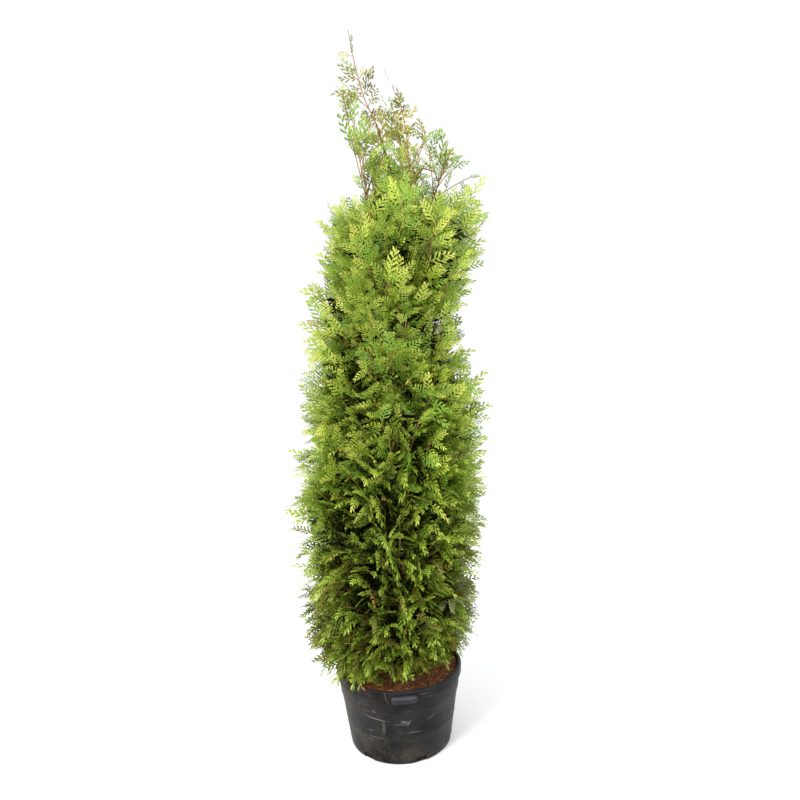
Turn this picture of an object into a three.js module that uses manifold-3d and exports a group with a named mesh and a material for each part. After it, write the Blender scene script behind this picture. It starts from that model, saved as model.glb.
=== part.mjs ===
// A young thuja in a black nursery pot: the pot, its root ball, the trunk, the boughs and the masses of
// flat, toothed sprays that the boughs carry. Millimetres, +Z up, origin under the middle of the pot,
// front towards -Y.
import * as THREE from "three";
import { mergeVertices } from "three/addons/utils/BufferGeometryUtils.js";
import Module from "manifold-3d";

const wasm = await Module();
wasm.setup();

// ---- Driving dimensions ----

const gap = 0.3; // clearance between solids that touch on the real plant
const spacing = 4; // how far a spray keeps from the edge of its own space
const plantHeight = 2412; // ground to the tip of the leader

const pot = {
  height: 270,
  rimRadius: 220, // outside of the rim's band
  neckRadius: 213, // wall just under the band
  stepRadius: 208, // wall above the step
  waistRadius: 205, // wall under the step
  baseRadius: 175,
  bandHeight: 30,
  stepHeight: 190,
  ridgeHeight: 102,
  ridge: 1.5, // how far the moulded ridge stands out
  ridgeDip: 0.5, // how far the wall falls back beside the ridge
  ridgeFoot: 4, // height of the slope on each side of the ridge
  edge: 3, // slope at the step, under the band and over the rim
  rimRound: 6,
  innerStep: 5,
  footChamfer: 7,
  wall: 4,
  floor: 5,
  segments: 40,
};

const grip = {
  halfAngle: 12.5,
  outerRadius: 228,
  sunk: 3.5,
  splay: 1.12, // how much wider the grip is at its root
  height: 27,
  top: 262,
  count: 2,
  segments: 6,
};
const drain = { count: 6, firstAngle: -130, width: 22, height: 9, depth: 3, clear: 3 };
const rootBall = { top: 255, mound: 9, shoulder: 160, shoulderRise: 0.8, crownRadius: 50.4 };

// The trunk's centre line, from the root ball to where the leader's foliage begins.
const trunkPath = [
  [0, 0, rootBall.top],
  [4, 6, 700],
  [12, -6, 1200],
  [40, 4, 1600],
  [48, 0, 1800],
  [30, -4, 1960],
  [-8, 2, 2110],
];
const trunk = {
  baseRadius: 21,
  tipRadius: 3.4,
  taper: 1.15, // above 1, the trunk narrows faster near its foot
  flare: 17,
  flareHeight: 34,
  buttresses: 5,
  fluting: 0.25, // share of the flare that rises and falls between buttresses
  sides: 8,
  steps: 26,
};
const leaderPath = [
  [-8.2, 2, 2110.8],
  [-48, 4, 2205],
  [-79, 2, 2342],
  [-89, 0, plantHeight],
];

// The crown's outline: at each height, the radius of the foliage and how far it leans towards +X.
const crown = [
  { height: 205, radius: 200, lean: -20 },
  { height: 285, radius: 238, lean: -40 },
  { height: 360, radius: 266, lean: -46 },
  { height: 430, radius: 300, lean: -28 },
  { height: 650, radius: 323, lean: -30 },
  { height: 800, radius: 345, lean: -28 },
  { height: 930, radius: 340, lean: -23 },
  { height: 1070, radius: 312, lean: 11 },
  { height: 1200, radius: 326, lean: 22 },
  { height: 1340, radius: 272, lean: -5 },
  { height: 1475, radius: 276, lean: -26 },
  { height: 1600, radius: 282, lean: 40 },
  { height: 1740, radius: 292, lean: 64 },
  { height: 1805, radius: 304, lean: 88 },
  { height: 1870, radius: 252, lean: 96 },
  { height: 1930, radius: 216, lean: 126 },
  { height: 2000, radius: 194, lean: 94 },
  { height: 2060, radius: 168, lean: 60 },
  { height: 2126, radius: 130, lean: 32 },
  { height: 2190, radius: 130, lean: -8 },
  { height: 2256, radius: 80, lean: -75 },
  { height: plantHeight, radius: 40, lean: -88 },
];

// Tiers of foliage from the pot up. A tier's floor is a cone: its height at the trunk, and its rise
// for each millimetre outwards. The last entry only closes the tier below it. A dense tier has a core
// in each mass that reaches this share of the way to the crown's surface; an open tier has none.
const tiers = [
  { name: "skirt", floor: 300, rise: 0.02, masses: 4, turn: -100, core: 0.78 },
  { name: "lower", floor: 440, rise: 0.36, masses: 5, turn: -82, core: 0.76 },
  { name: "middle", floor: 745, rise: 0.45, masses: 5, turn: 54, core: 0.74 },
  { name: "shoulder", floor: 1055, rise: 0.5, masses: 4, turn: 20, core: 0.72 },
  { name: "upper", floor: 1375, rise: 0.55, masses: 4, turn: 62, core: 0.64 },
  { name: "shoot", floor: 1690, rise: 0.75, masses: 5, turn: 2, core: 0 },
  { name: "leader", floor: 2060, rise: 1.6, masses: 1, turn: 90, core: 0 },
  { name: "sky", floor: plantHeight + spacing, rise: 0 },
];
// Where the stem of each shoot ends, in the order of the shoot tier's masses.
const shootTips = [
  [225, 10, 2040],
  [60, 100, 2165],
  [-118, 36, 2225],
  [-80, -50, 2104],
  [60, -100, 2185],
];
const dense = {
  rows: 3,
  columns: 4,
  teeth: 2,
  inner: 0.22, // where a core begins on the way from the axis to the surface
  edge: 0.98, // how much of its space a core takes up from side to side
  halfHeight: 0.48,
  roundness: 0.42, // below 1, squarer than a ball
  lumps: 8,
  lumpRange: [0.9, 1.06],
  pull: 0.06, // how far a corner that leaves the space is drawn in at a time
  pulls: 12,
  shift: 0.22, // sideways stagger from row to row
  rootShare: 0.82, // where a spray starts, as a share of the core's depth
};
const open = { sprays: 12, teeth: 3, longest: 165, shortest: 72, closest: 28, widest: 52, turn: 137.5 };

// Boughs start at least this far above the root ball, and each below its mass by its rise for each
// millimetre that it goes out. They sag under the straight line before they turn up.
const bough = {
  baseRadius: 7.5,
  tipRadius: 4,
  stemTipRadius: 1.6,
  topShare: 0.55, // how slim the highest bough is beside the lowest
  stagger: 23,
  lowest: 55,
  dense: { rise: 0.95, tipShare: 0.22, tipLift: 0.3 },
  open: { rise: 1.9, tipShare: 0.4, tipLift: 0.14 },
  bendShare: 0.55,
  sag: 0.22,
  sides: 5,
  steps: 3,
};
const spray = { shortest: 60, slim: 0.25, thickness: 0.022, sunk: 12 };
// A blade's outline as shares of its length: its thickest place, its first tooth and first notch, how
// much of the length the teeth take up, how deep the notches are and how full its middle is.
const blade = {
  thickest: 0.45,
  firstTooth: 0.27,
  firstNotch: 0.4,
  toothed: 0.93,
  notch: 0.4,
  fullness: 0.7,
};
const limbClearance = 2.5; // how far twigs and sprays keep from the trunk and the boughs

const colours = {
  pot: "#26272a",
  soil: "#5c3a26",
  bark: "#6e4a33",
  foliage: "#6f9a2e",
  freshFoliage: "#93ad3c",
};

// ---- Small helpers ----

const degrees = THREE.MathUtils.degToRad;
const mix = THREE.MathUtils.lerp;

// A repeatable stream of numbers from 0 to 1.
function makeRandom(seed) {
  let state = seed >>> 0;
  return () => {
    state = (Math.imul(state, 1664525) + 1013904223) >>> 0;
    return state / 4294967296;
  };
}

// Straight-line interpolation in a list of rows, sorted by the value under key.
function interpolate(rows, key, at, value) {
  const above = rows.findIndex((row) => row[key] >= at);
  if (above === 0) return rows[0][value];
  if (above < 0) return rows[rows.length - 1][value];
  const [low, high] = [rows[above - 1], rows[above]];
  return mix(low[value], high[value], (at - low[key]) / (high[key] - low[key]));
}

function solidOf(geometry) {
  const bare = geometry.clone();
  bare.deleteAttribute("normal");
  bare.deleteAttribute("uv");
  const merged = mergeVertices(bare, 1e-3);
  return new wasm.Manifold(
    new wasm.Mesh({
      numProp: 3,
      vertProperties: new Float32Array(merged.getAttribute("position").array),
      triVerts: new Uint32Array(merged.index.array),
    }),
  );
}

function geometryOf(solid) {
  const mesh = solid.getMesh();
  const geometry = new THREE.BufferGeometry();
  const points = new Float32Array(mesh.numVert * 3);
  for (let i = 0; i < mesh.numVert; i++) {
    points.set(mesh.vertProperties.subarray(i * mesh.numProp, i * mesh.numProp + 3), i * 3);
  }
  geometry.setAttribute("position", new THREE.BufferAttribute(points, 3));
  geometry.setIndex(new THREE.BufferAttribute(mesh.triVerts, 1));
  geometry.computeVertexNormals();
  return geometry;
}

// The largest closed body of a solid: scraps that a cut leaves loose are dropped.
function largestBody(solid) {
  const bodies = solid.decompose();
  return bodies.reduce((best, body) => (body.volume() > best.volume() ? body : best));
}

function makeMesh(name, geometry, colour, roughness) {
  const material = new THREE.MeshStandardMaterial({ color: colour, roughness, metalness: 0 });
  const mesh = new THREE.Mesh(geometry, material);
  mesh.name = name;
  return mesh;
}

// Lathe round +Z from a profile of [radius, height] pairs that starts and ends on the axis.
function turned(profile, segments) {
  const points = profile.map(([radius, height]) => new THREE.Vector2(radius, height));
  return new THREE.LatheGeometry(points, segments).rotateX(Math.PI / 2);
}

// A closed cylinder bent along a curve. radiusAt(share, angle) gives its radius along and round it.
function limb(curve, radiusAt, sides, steps) {
  const shape = new THREE.CylinderGeometry(1, 1, 1, sides, steps);
  const frames = curve.computeFrenetFrames(steps, false);
  const place = shape.getAttribute("position");
  const point = new THREE.Vector3();
  for (let i = 0; i < place.count; i++) {
    const [x, z] = [place.getX(i), place.getZ(i)];
    const step = Math.round((place.getY(i) + 0.5) * steps);
    const radius = radiusAt(step / steps, Math.atan2(z, x));
    curve.getPointAt(step / steps, point);
    point.addScaledVector(frames.normals[step], x * radius);
    point.addScaledVector(frames.binormals[step], -z * radius);
    place.setXYZ(i, point.x, point.y, point.z);
  }
  return shape;
}

// ---- Pot and root ball ----

function wallRadius(height) {
  const rows = [
    { height: 0, radius: pot.baseRadius },
    { height: pot.stepHeight, radius: pot.waistRadius },
    { height: pot.height, radius: pot.neckRadius },
  ];
  return interpolate(rows, "height", height, "radius");
}

function potProfile() {
  const bandFoot = pot.height - pot.bandHeight;
  const innerRim = pot.neckRadius - pot.wall;
  return [
    [0, 0],
    [pot.baseRadius - pot.footChamfer, 0],
    [wallRadius(pot.footChamfer), pot.footChamfer],
    [wallRadius(pot.ridgeHeight) - pot.ridgeDip, pot.ridgeHeight - pot.ridgeFoot],
    [wallRadius(pot.ridgeHeight) + pot.ridge, pot.ridgeHeight],
    [wallRadius(pot.ridgeHeight) - pot.ridgeDip, pot.ridgeHeight + pot.ridgeFoot],
    [pot.waistRadius, pot.stepHeight - pot.edge],
    [pot.stepRadius, pot.stepHeight],
    [pot.neckRadius, bandFoot - pot.edge],
    [pot.rimRadius - 1, bandFoot],
    [pot.rimRadius, pot.height - pot.rimRound],
    [pot.rimRadius - pot.edge, pot.height],
    [innerRim + 1, pot.height],
    [innerRim - 1, pot.height - pot.innerStep],
    [wallRadius(pot.stepHeight) - pot.wall, pot.stepHeight],
    [wallRadius(pot.floor) - pot.wall - pot.footChamfer / 2, pot.floor],
    [0, pot.floor],
  ];
}

// A moulded grip under the rim: a curved block that grows out of the rim's band.
function gripSolid(angle) {
  const outline = new THREE.Shape();
  const half = degrees(grip.halfAngle);
  const inner = pot.rimRadius - grip.sunk;
  outline.absarc(0, 0, grip.outerRadius, angle - half, angle + half, false);
  outline.absarc(0, 0, inner, angle + half * grip.splay, angle - half * grip.splay, true);
  const block = new THREE.ExtrudeGeometry(outline, {
    depth: grip.height,
    bevelEnabled: false,
    curveSegments: grip.segments,
  });
  return solidOf(block.translate(0, 0, grip.top - grip.height));
}

// A drainage recess in the pot's lower edge.
function drainCutter(angle) {
  const box = new THREE.BoxGeometry(2 * (drain.depth + drain.clear), drain.width, 2 * drain.height);
  return solidOf(box.translate(pot.baseRadius + drain.clear, 0, 0).rotateZ(angle));
}

function makePot() {
  let solid = solidOf(turned(potProfile(), pot.segments));
  for (let i = 0; i < grip.count; i++) {
    solid = solid.add(gripSolid(-Math.PI / 2 + (i * 2 * Math.PI) / grip.count));
  }
  for (let i = 0; i < drain.count; i++) {
    solid = solid.subtract(drainCutter(degrees(drain.firstAngle + (i * 360) / drain.count)));
  }
  return makeMesh("pot", geometryOf(solid), colours.pot, 0.55);
}

function makeRootBall() {
  const inside = (height) => wallRadius(height) - pot.wall - pot.footChamfer / 2 - gap;
  const profile = [
    [0, pot.floor + gap],
    [inside(pot.floor) - gap, pot.floor + gap],
    [inside(pot.stepHeight), pot.stepHeight],
    [inside(rootBall.top), rootBall.top],
    [rootBall.shoulder, rootBall.top + rootBall.mound * rootBall.shoulderRise],
    [rootBall.crownRadius, rootBall.top + rootBall.mound],
    [0, rootBall.top + rootBall.mound],
  ];
  return makeMesh("root_ball", turned(profile, pot.segments), colours.soil, 0.95);
}

// ---- The crown's space ----

const pastTop = [-89, 0, 2 * plantHeight];
const axisPoints = [...trunkPath, ...leaderPath.slice(1), pastTop];
const axisRows = axisPoints.map(([x, y, z]) => ({ x, y, height: z }));

function axisAt(height) {
  const x = interpolate(axisRows, "height", height, "x");
  const y = interpolate(axisRows, "height", height, "y");
  return new THREE.Vector3(x, y, height);
}

// How far the crown reaches from the trunk's axis at a height, in the direction of an azimuth.
function reach(height, azimuth) {
  const axis = axisAt(height);
  const x = interpolate(crown, "height", height, "lean") - axis.x;
  const y = -axis.y;
  const radius = interpolate(crown, "height", height, "radius");
  const along = x * Math.cos(azimuth) + y * Math.sin(azimuth);
  const across = x * Math.sin(azimuth) - y * Math.cos(azimuth);
  return along + Math.sqrt(Math.max(0, radius * radius - across * across));
}

// A mass's own space: a sector of its tier, between the tier's floor and the next one.
function makeSpace(tierIndex, massIndex) {
  const [tier, next] = [tiers[tierIndex], tiers[tierIndex + 1]];
  const half = Math.PI / tier.masses;
  const azimuth = degrees(tier.turn) + massIndex * 2 * half;
  const floorAt = (radius) => tier.floor + tier.rise * radius;
  const roofAt = (radius) => next.floor + next.rise * radius;
  const pointAt = (turn, share, lift) => {
    const angle = azimuth + turn * half;
    let height = mix(tier.floor, next.floor, lift);
    let radius = 0;
    for (let i = 0; i < 4; i++) {
      radius = share * Math.max(0, reach(height, angle));
      height = mix(floorAt(radius), roofAt(radius), lift);
    }
    const point = axisAt(height);
    point.x += radius * Math.cos(angle);
    point.y += radius * Math.sin(angle);
    return point;
  };
  const holds = (point) => {
    const axis = axisAt(point.z);
    const radius = Math.hypot(point.x - axis.x, point.y - axis.y);
    const angle = Math.atan2(point.y - axis.y, point.x - axis.x);
    const off = Math.abs(THREE.MathUtils.euclideanModulo(angle - azimuth + Math.PI, 2 * Math.PI) - Math.PI);
    const slack = (half - off) * radius;
    return (
      slack > spacing &&
      point.z > floorAt(radius) + spacing &&
      point.z < roofAt(radius) - spacing &&
      radius < reach(point.z, angle) + spacing
    );
  };
  return { tier, azimuth, half, pointAt, holds };
}

// ---- Limbs ----

const trunkCurve = new THREE.CatmullRomCurve3(trunkPath.map((p) => new THREE.Vector3(...p)));
const leaderStem = new THREE.CatmullRomCurve3(leaderPath.map((p) => new THREE.Vector3(...p)));

// The trunk's radius along its length and round it, with buttresses at the root flare.
function trunkRadius(share, angle) {
  const taper = mix(trunk.tipRadius, trunk.baseRadius, (1 - share) ** trunk.taper);
  const above = share * trunkCurve.getLength();
  const spread = trunk.flare * Math.exp(-above / trunk.flareHeight);
  return taper + spread * (1 - trunk.fluting + trunk.fluting * Math.cos(trunk.buttresses * angle));
}

// The trunk ends in a flat cut at the soil.
function trunkSolid(extra) {
  const radiusAt = (share, angle) => trunkRadius(share, angle) + extra;
  const whole = solidOf(limb(trunkCurve, radiusAt, trunk.sides, trunk.steps));
  const wide = rootBall.crownRadius * 2;
  const depth = trunk.baseRadius * 2;
  const ground = new THREE.CylinderGeometry(wide, wide, depth, trunk.sides).rotateX(Math.PI / 2);
  const cut = rootBall.top + rootBall.mound + gap - depth / 2;
  return whole.subtract(solidOf(ground.translate(0, 0, cut)));
}

// A bough leaves the trunk below its mass, in an upward curve, and ends where the mass begins.
function boughCurve(space, index) {
  const way = space.tier.core > 0 ? bough.dense : bough.open;
  const tip = space.pointAt(0, way.tipShare, way.tipLift);
  const root = axisAt(tip.z);
  const out = Math.hypot(tip.x - root.x, tip.y - root.y);
  const drop = out * way.rise + bough.stagger * (index % 3);
  const lowest = rootBall.top + bough.lowest + bough.stagger * index;
  const start = axisAt(Math.max(lowest, tip.z - drop));
  const bend = start.clone().lerp(tip, bough.bendShare);
  bend.z -= bough.sag * out;
  return new THREE.QuadraticBezierCurve3(start, bend, tip);
}

function boughRadius(curve, extra) {
  const slim = mix(1, bough.topShare, (curve.v0.z - rootBall.top) / (plantHeight - rootBall.top));
  return (share) => mix(bough.baseRadius, bough.tipRadius, share) * slim + extra;
}

// ---- Foliage ----

// A toothed blade: a ring of points round its outline, closed to one apex above and one below its
// middle. across is a direction to its side.
function toothedBlade(root, tip, across, teeth) {
  const sides = 4 * teeth;
  const shape = new THREE.SphereGeometry(1, sides, 2);
  const along = tip.clone().sub(root);
  const length = along.length();
  along.normalize();
  const side = across.clone().addScaledVector(along, -across.dot(along)).normalize();
  const up = along.clone().cross(side);
  const place = shape.getAttribute("position");
  const point = new THREE.Vector3();
  const spread = blade.toothed / teeth;
  const tipIndex = sides / 2;
  for (let i = 0; i < place.count; i++) {
    const row = Math.floor(i / (sides + 1));
    const index = (i % (sides + 1)) % sides;
    let [width, share, height] = [0, blade.thickest, 0];
    if (row === 1) {
      const step = index <= tipIndex ? index : sides - index;
      const isTooth = step % 2 === 1;
      if (step === 0) share = 0;
      else if (step === tipIndex) share = 1;
      else if (isTooth) share = blade.firstTooth + (spread * (step - 1)) / 2;
      else share = blade.firstNotch + (spread * (step - 2)) / 2;
      const envelope = share > 0 && share < 1 ? Math.sin(Math.PI * share) ** blade.fullness : 0;
      width = spray.slim * length * envelope * (isTooth ? 1 : blade.notch) * (index <= tipIndex ? -1 : 1);
    } else {
      height = spray.thickness * length * (row === 0 ? 1 : -1);
    }
    point.copy(root);
    point.addScaledVector(along, share * length);
    point.addScaledVector(side, width);
    point.addScaledVector(up, height);
    place.setXYZ(i, point.x, point.y, point.z);
  }
  return shape;
}

function pointsOf(geometry) {
  const place = geometry.getAttribute("position");
  return Array.from({ length: place.count }, (_, i) => new THREE.Vector3().fromBufferAttribute(place, i));
}

// A lumpy core that fills the inner part of a mass's space, its corners rounded off.
function makeCore(space, random) {
  const core = new THREE.SphereGeometry(1, 8, 5);
  const lumps = Array.from({ length: dense.lumps }, () => mix(...dense.lumpRange, random()));
  const rounded = (value) => Math.sign(value) * Number(Math.abs(value).toFixed(6)) ** dense.roundness;
  const place = core.getAttribute("position");
  const middle = space.pointAt(0, (dense.inner + space.tier.core) / 2, 0.5);
  for (let i = 0; i < place.count; i++) {
    const [x, y, z] = [place.getX(i), place.getY(i), place.getZ(i)];
    const lump = lumps[(Math.round((x + 1) * 3) + Math.round((z + 1) * 2)) % dense.lumps];
    const share = mix(dense.inner, space.tier.core * lump, (rounded(z) + 1) / 2);
    const point = space.pointAt(dense.edge * rounded(x), share, 0.5 + dense.halfHeight * rounded(y));
    for (let i = 0; i < dense.pulls && !space.holds(point); i++) point.lerp(middle, dense.pull);
    place.setXYZ(i, point.x, point.y, point.z);
  }
  return solidOf(core);
}

// A dense mass: a core round the stem, and sprays that stand out of the core towards evenly spread
// points of the crown's surface.
function denseSprays(space, random, grow) {
  for (let row = 0; row < dense.rows; row++) {
    for (let column = 0; column < dense.columns; column++) {
      const shift = row % 2 ? dense.shift : -dense.shift;
      const turn = ((column + 0.5 + shift + 0.3 * (random() - 0.5)) / dense.columns) * 2 - 1;
      const lift = (row + 0.72 + 0.45 * (random() - 0.5)) / dense.rows;
      const out = row === dense.rows - 1 ? mix(0.72, 0.98, random()) : mix(0.95, 1, random());
      const rise = mix(0.22, 0.42, random());
      const target = space.pointAt(turn * 0.9, out, lift * 0.97);
      const depth = space.tier.core * dense.rootShare;
      const root = space.pointAt(turn * 0.72, depth, Math.max(0.06, lift - rise));
      grow(root, target, mix(-1.1, 1.1, random()));
    }
  }
}

// An open mass: sprays that leave its stem all the way up, each turned on from the one below.
function openSprays(space, stem, random, grow) {
  for (let i = 0; i < open.sprays; i++) {
    const share = mix(0.1, 0.95, i / (open.sprays - 1));
    const foot = stem.getPointAt(share);
    const heading = stem.getTangentAt(share);
    const lean = degrees(mix(open.widest, open.closest, share) + 12 * (random() - 0.5));
    const turn = degrees(open.turn) * i + space.azimuth;
    const sideways = new THREE.Vector3(0, 1, 0).cross(heading).normalize();
    const radial = sideways.applyAxisAngle(heading, turn);
    const direction = heading.clone().multiplyScalar(Math.cos(lean)).addScaledVector(radial, Math.sin(lean));
    const length = mix(open.longest, open.shortest, share) * mix(0.85, 1.1, random());
    const root = foot.clone().addScaledVector(direction, -spray.sunk);
    grow(root, foot.addScaledVector(direction, length), mix(-0.6, 0.6, random()));
  }
  const top = stem.getPointAt(1);
  grow(stem.getPointAt(0.86), top.addScaledVector(stem.getTangentAt(1), spray.shortest * 0.6), 0);
}

// One mass of foliage: the stem that carries on from its bough, with its sprays fused on.
function massSolid(space, stem, guard, seed) {
  const random = makeRandom(seed);
  const stemRadius = (share) => mix(bough.tipRadius * 0.8, bough.stemTipRadius, share);
  const pieces = [solidOf(limb(stem, stemRadius, 3, 4))];
  const grow = (root, target, roll) => {
    const grown = growSpray(space, root, target, roll, guard);
    if (grown) pieces.push(grown);
  };
  if (space.tier.core > 0) {
    pieces.push(largestBody(makeCore(space, random).subtract(guard)));
    denseSprays(space, random, grow);
  } else {
    openSprays(space, stem, random, grow);
  }
  return largestBody(pieces.reduce((all, piece) => all.add(piece)));
}

// A toothed spray from its root to a target. It shrinks a little to stay in its mass's space; one
// that would still leave it, or touch a limb, isn't grown.
function growSpray(space, root, target, roll, guard) {
  const direction = target.clone().sub(root).normalize();
  const { teeth } = space.tier.core > 0 ? dense : open;
  const across = new THREE.Vector3(0, 0, 1).cross(direction).normalize().applyAxisAngle(direction, roll);
  for (let scale = 1; scale > 0.5; scale -= 0.1) {
    const tip = root.clone().lerp(target, scale);
    if (root.distanceTo(tip) < spray.shortest) return null;
    const shape = toothedBlade(root, tip, across, teeth);
    if (pointsOf(shape).some((point) => !space.holds(point) && point.distanceTo(root) > 1)) continue;
    const solid = solidOf(shape);
    if (solid.intersect(guard).isEmpty()) return solid;
  }
  return null;
}

// ---- Putting the plant together ----

const plant = new THREE.Group();
plant.add(makePot());
plant.add(makeRootBall());

const trunkBody = trunkSolid(0);
plant.add(makeMesh("trunk", geometryOf(trunkBody), colours.bark, 0.9));

let boughGuard = trunkSolid(gap);
const potSpace = [
  [0, 0],
  [grip.outerRadius + spacing, 0],
  [grip.outerRadius + spacing, pot.height + limbClearance],
  [0, pot.height + limbClearance],
];
let limbGuard = trunkSolid(limbClearance).add(solidOf(turned(potSpace, pot.segments)));
const masses = [];
for (let tierIndex = 0; tierIndex < tiers.length - 1; tierIndex++) {
  for (let i = 0; i < tiers[tierIndex].masses; i++) {
    const space = makeSpace(tierIndex, i);
    const seed = 1000 * (tierIndex + 1) + 37 * i;
    if (space.tier.name === "leader") {
      masses.push({ space, stem: leaderStem, label: space.tier.name, seed });
      continue;
    }
    const curve = boughCurve(space, i);
    const label = `${space.tier.name}_${i + 1}`;
    const boughSolid = (extra) => {
      return solidOf(limb(curve, boughRadius(curve, extra), bough.sides, bough.steps));
    };
    const body = largestBody(boughSolid(0).subtract(boughGuard));
    plant.add(makeMesh(`bough_${label}`, geometryOf(body), colours.bark, 0.85));
    boughGuard = boughGuard.add(boughSolid(gap));
    limbGuard = limbGuard.add(boughSolid(limbClearance));
    const heading = curve.getTangentAt(1);
    const start = curve.getPointAt(1).addScaledVector(heading, gap);
    const end = space.tier.core > 0 ? space.pointAt(0, 0.6, 0.8) : new THREE.Vector3(...shootTips[i]);
    const bend = start.clone().addScaledVector(heading, 0.45 * start.distanceTo(end));
    masses.push({ space, stem: new THREE.QuadraticBezierCurve3(start, bend, end), label, seed });
  }
}

for (const { space, stem, label, seed } of masses) {
  const solid = massSolid(space, stem, limbGuard, seed);
  const colour = space.tier.core > 0 ? colours.foliage : colours.freshFoliage;
  plant.add(makeMesh(`foliage_${label}`, geometryOf(solid), colour, 0.7));
}

export default plant;
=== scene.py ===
import bpy
import bmesh
import math
import numpy as np
from mathutils import Matrix, Vector, noise


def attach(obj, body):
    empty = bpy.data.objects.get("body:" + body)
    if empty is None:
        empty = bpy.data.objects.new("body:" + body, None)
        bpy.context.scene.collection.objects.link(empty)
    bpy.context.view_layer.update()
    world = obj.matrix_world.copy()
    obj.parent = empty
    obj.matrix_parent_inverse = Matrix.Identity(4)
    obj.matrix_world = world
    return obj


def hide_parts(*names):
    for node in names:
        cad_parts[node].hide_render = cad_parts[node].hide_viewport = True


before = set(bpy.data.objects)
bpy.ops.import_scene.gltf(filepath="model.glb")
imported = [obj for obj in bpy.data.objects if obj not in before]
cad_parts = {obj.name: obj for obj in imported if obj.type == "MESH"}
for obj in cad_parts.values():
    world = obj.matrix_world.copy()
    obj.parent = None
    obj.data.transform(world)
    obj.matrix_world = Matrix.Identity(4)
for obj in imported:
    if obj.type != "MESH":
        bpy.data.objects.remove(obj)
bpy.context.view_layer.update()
print("frame loaded")


def mix(low, high, share):
    return low + (high - low) * share


def paint(text):
    # a display colour as linear red, green, blue and alpha
    parts = [int(text[i:i + 2], 16) / 255 for i in (1, 3, 5)]
    return [part / 12.92 if part < 0.04045 else ((part + 0.055) / 1.055) ** 2.4 for part in parts] + [1]


def linkMesh(name, mesh, slots):
    piece = bpy.data.objects.new(name, mesh)
    bpy.context.scene.collection.objects.link(piece)
    for slot in slots:
        mesh.materials.append(slot)
    return piece


def meshFromArrays(name, points, faces, slots, tones):
    # faces is a table with the same number of corners in each row, and tones gives each its slot
    mesh = bpy.data.meshes.new(name)
    count, corners = faces.shape
    mesh.vertices.add(len(points))
    mesh.vertices.foreach_set("co", np.asarray(points, dtype=np.float32).ravel())
    mesh.loops.add(count * corners)
    mesh.loops.foreach_set("vertex_index", faces.astype(np.int32).ravel())
    mesh.polygons.add(count)
    mesh.polygons.foreach_set("loop_start", np.arange(0, count * corners, corners, dtype=np.int32))
    piece = linkMesh(name, mesh, slots)
    mesh.polygons.foreach_set("material_index", tones.astype(np.int32))
    mesh.update()
    mesh.validate()
    return piece


def meshFromBmesh(name, bm, slots, sharpAngle=35):
    bmesh.ops.remove_doubles(bm, verts=bm.verts, dist=1e-5)
    bmesh.ops.recalc_face_normals(bm, faces=bm.faces)
    mesh = bpy.data.meshes.new(name)
    bm.to_mesh(mesh)
    bm.free()
    piece = linkMesh(name, mesh, slots)
    mesh.shade_smooth()
    mesh.set_sharp_from_angle(angle=math.radians(sharpAngle))
    return piece


def makeGroup(name, inputs, outputs):
    group = bpy.data.node_groups.new(name, "ShaderNodeTree")
    for label, kind, value in inputs:
        socket = group.interface.new_socket(name=label, in_out="INPUT", socket_type="NodeSocket" + kind)
        socket.default_value = value
    for label, kind in outputs:
        group.interface.new_socket(name=label, in_out="OUTPUT", socket_type="NodeSocket" + kind)
    return group, group.nodes.new("NodeGroupInput"), group.nodes.new("NodeGroupOutput")


def addNode(tree, kind, settings=None, **values):
    node = tree.nodes.new("ShaderNode" + kind)
    for key, value in (settings or {}).items():
        setattr(node, key, value)
    for key, value in values.items():
        node.inputs[key.replace("_", " ")].default_value = value
    return node


def addNoise(tree, scale, detail=3, vector=None):
    node = addNode(tree, "TexNoise", Detail=detail, Roughness=0.55)
    if isinstance(scale, (int, float)):
        node.inputs["Scale"].default_value = scale
    else:
        tree.links.new(scale, node.inputs["Scale"])
    if vector is None:
        vector = addNode(tree, "TexCoord").outputs["Object"]
    tree.links.new(vector, node.inputs["Vector"])
    return node.outputs["Fac"]


def addRamp(tree, value, low, high, start=0.0, end=1.0):
    node = addNode(tree, "MapRange", {"clamp": True}, From_Min=low, From_Max=high, To_Min=start, To_Max=end)
    tree.links.new(value, node.inputs["Value"])
    return node.outputs["Result"]


def addBlend(tree, factor, first, second, mode="MIX"):
    node = addNode(tree, "Mix", {"data_type": "RGBA", "blend_type": mode, "clamp_factor": True})
    for index, value in ((0, factor), (6, first), (7, second)):
        if isinstance(value, (int, float, list)):
            node.inputs[index].default_value = value
        else:
            tree.links.new(value, node.inputs[index])
    return node.outputs[2]


def addMath(tree, operation, first, second):
    node = addNode(tree, "Math", {"operation": operation, "use_clamp": False})
    for index, value in enumerate((first, second)):
        if isinstance(value, (int, float)):
            node.inputs[index].default_value = value
        else:
            tree.links.new(value, node.inputs[index])
    return node.outputs[0]


def buildDrift():
    # two colours that drift into each other over a surface, with a fine mottle on top
    group, inside, outside = makeGroup(
        "colourDrift",
        [("First", "Color", (0.5, 0.5, 0.5, 1)), ("Second", "Color", (0.2, 0.2, 0.2, 1)),
         ("Scale", "Float", 8.0), ("Mottle", "Float", 0.3)],
        [("Colour", "Color")],
    )
    broad = addRamp(group, addNoise(group, inside.outputs["Scale"], 4), 0.36, 0.64)
    blended = addBlend(group, broad, inside.outputs["First"], inside.outputs["Second"])
    fineScale = addMath(group, "MULTIPLY", inside.outputs["Scale"], 17.0)
    fine = addRamp(group, addNoise(group, fineScale, 2), 0.3, 0.7)
    amount = addMath(group, "MULTIPLY", fine, inside.outputs["Mottle"])
    result = addBlend(group, amount, blended, [0.02, 0.02, 0.012, 1], "MULTIPLY")
    group.links.new(result, outside.inputs["Colour"])
    return group


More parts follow.
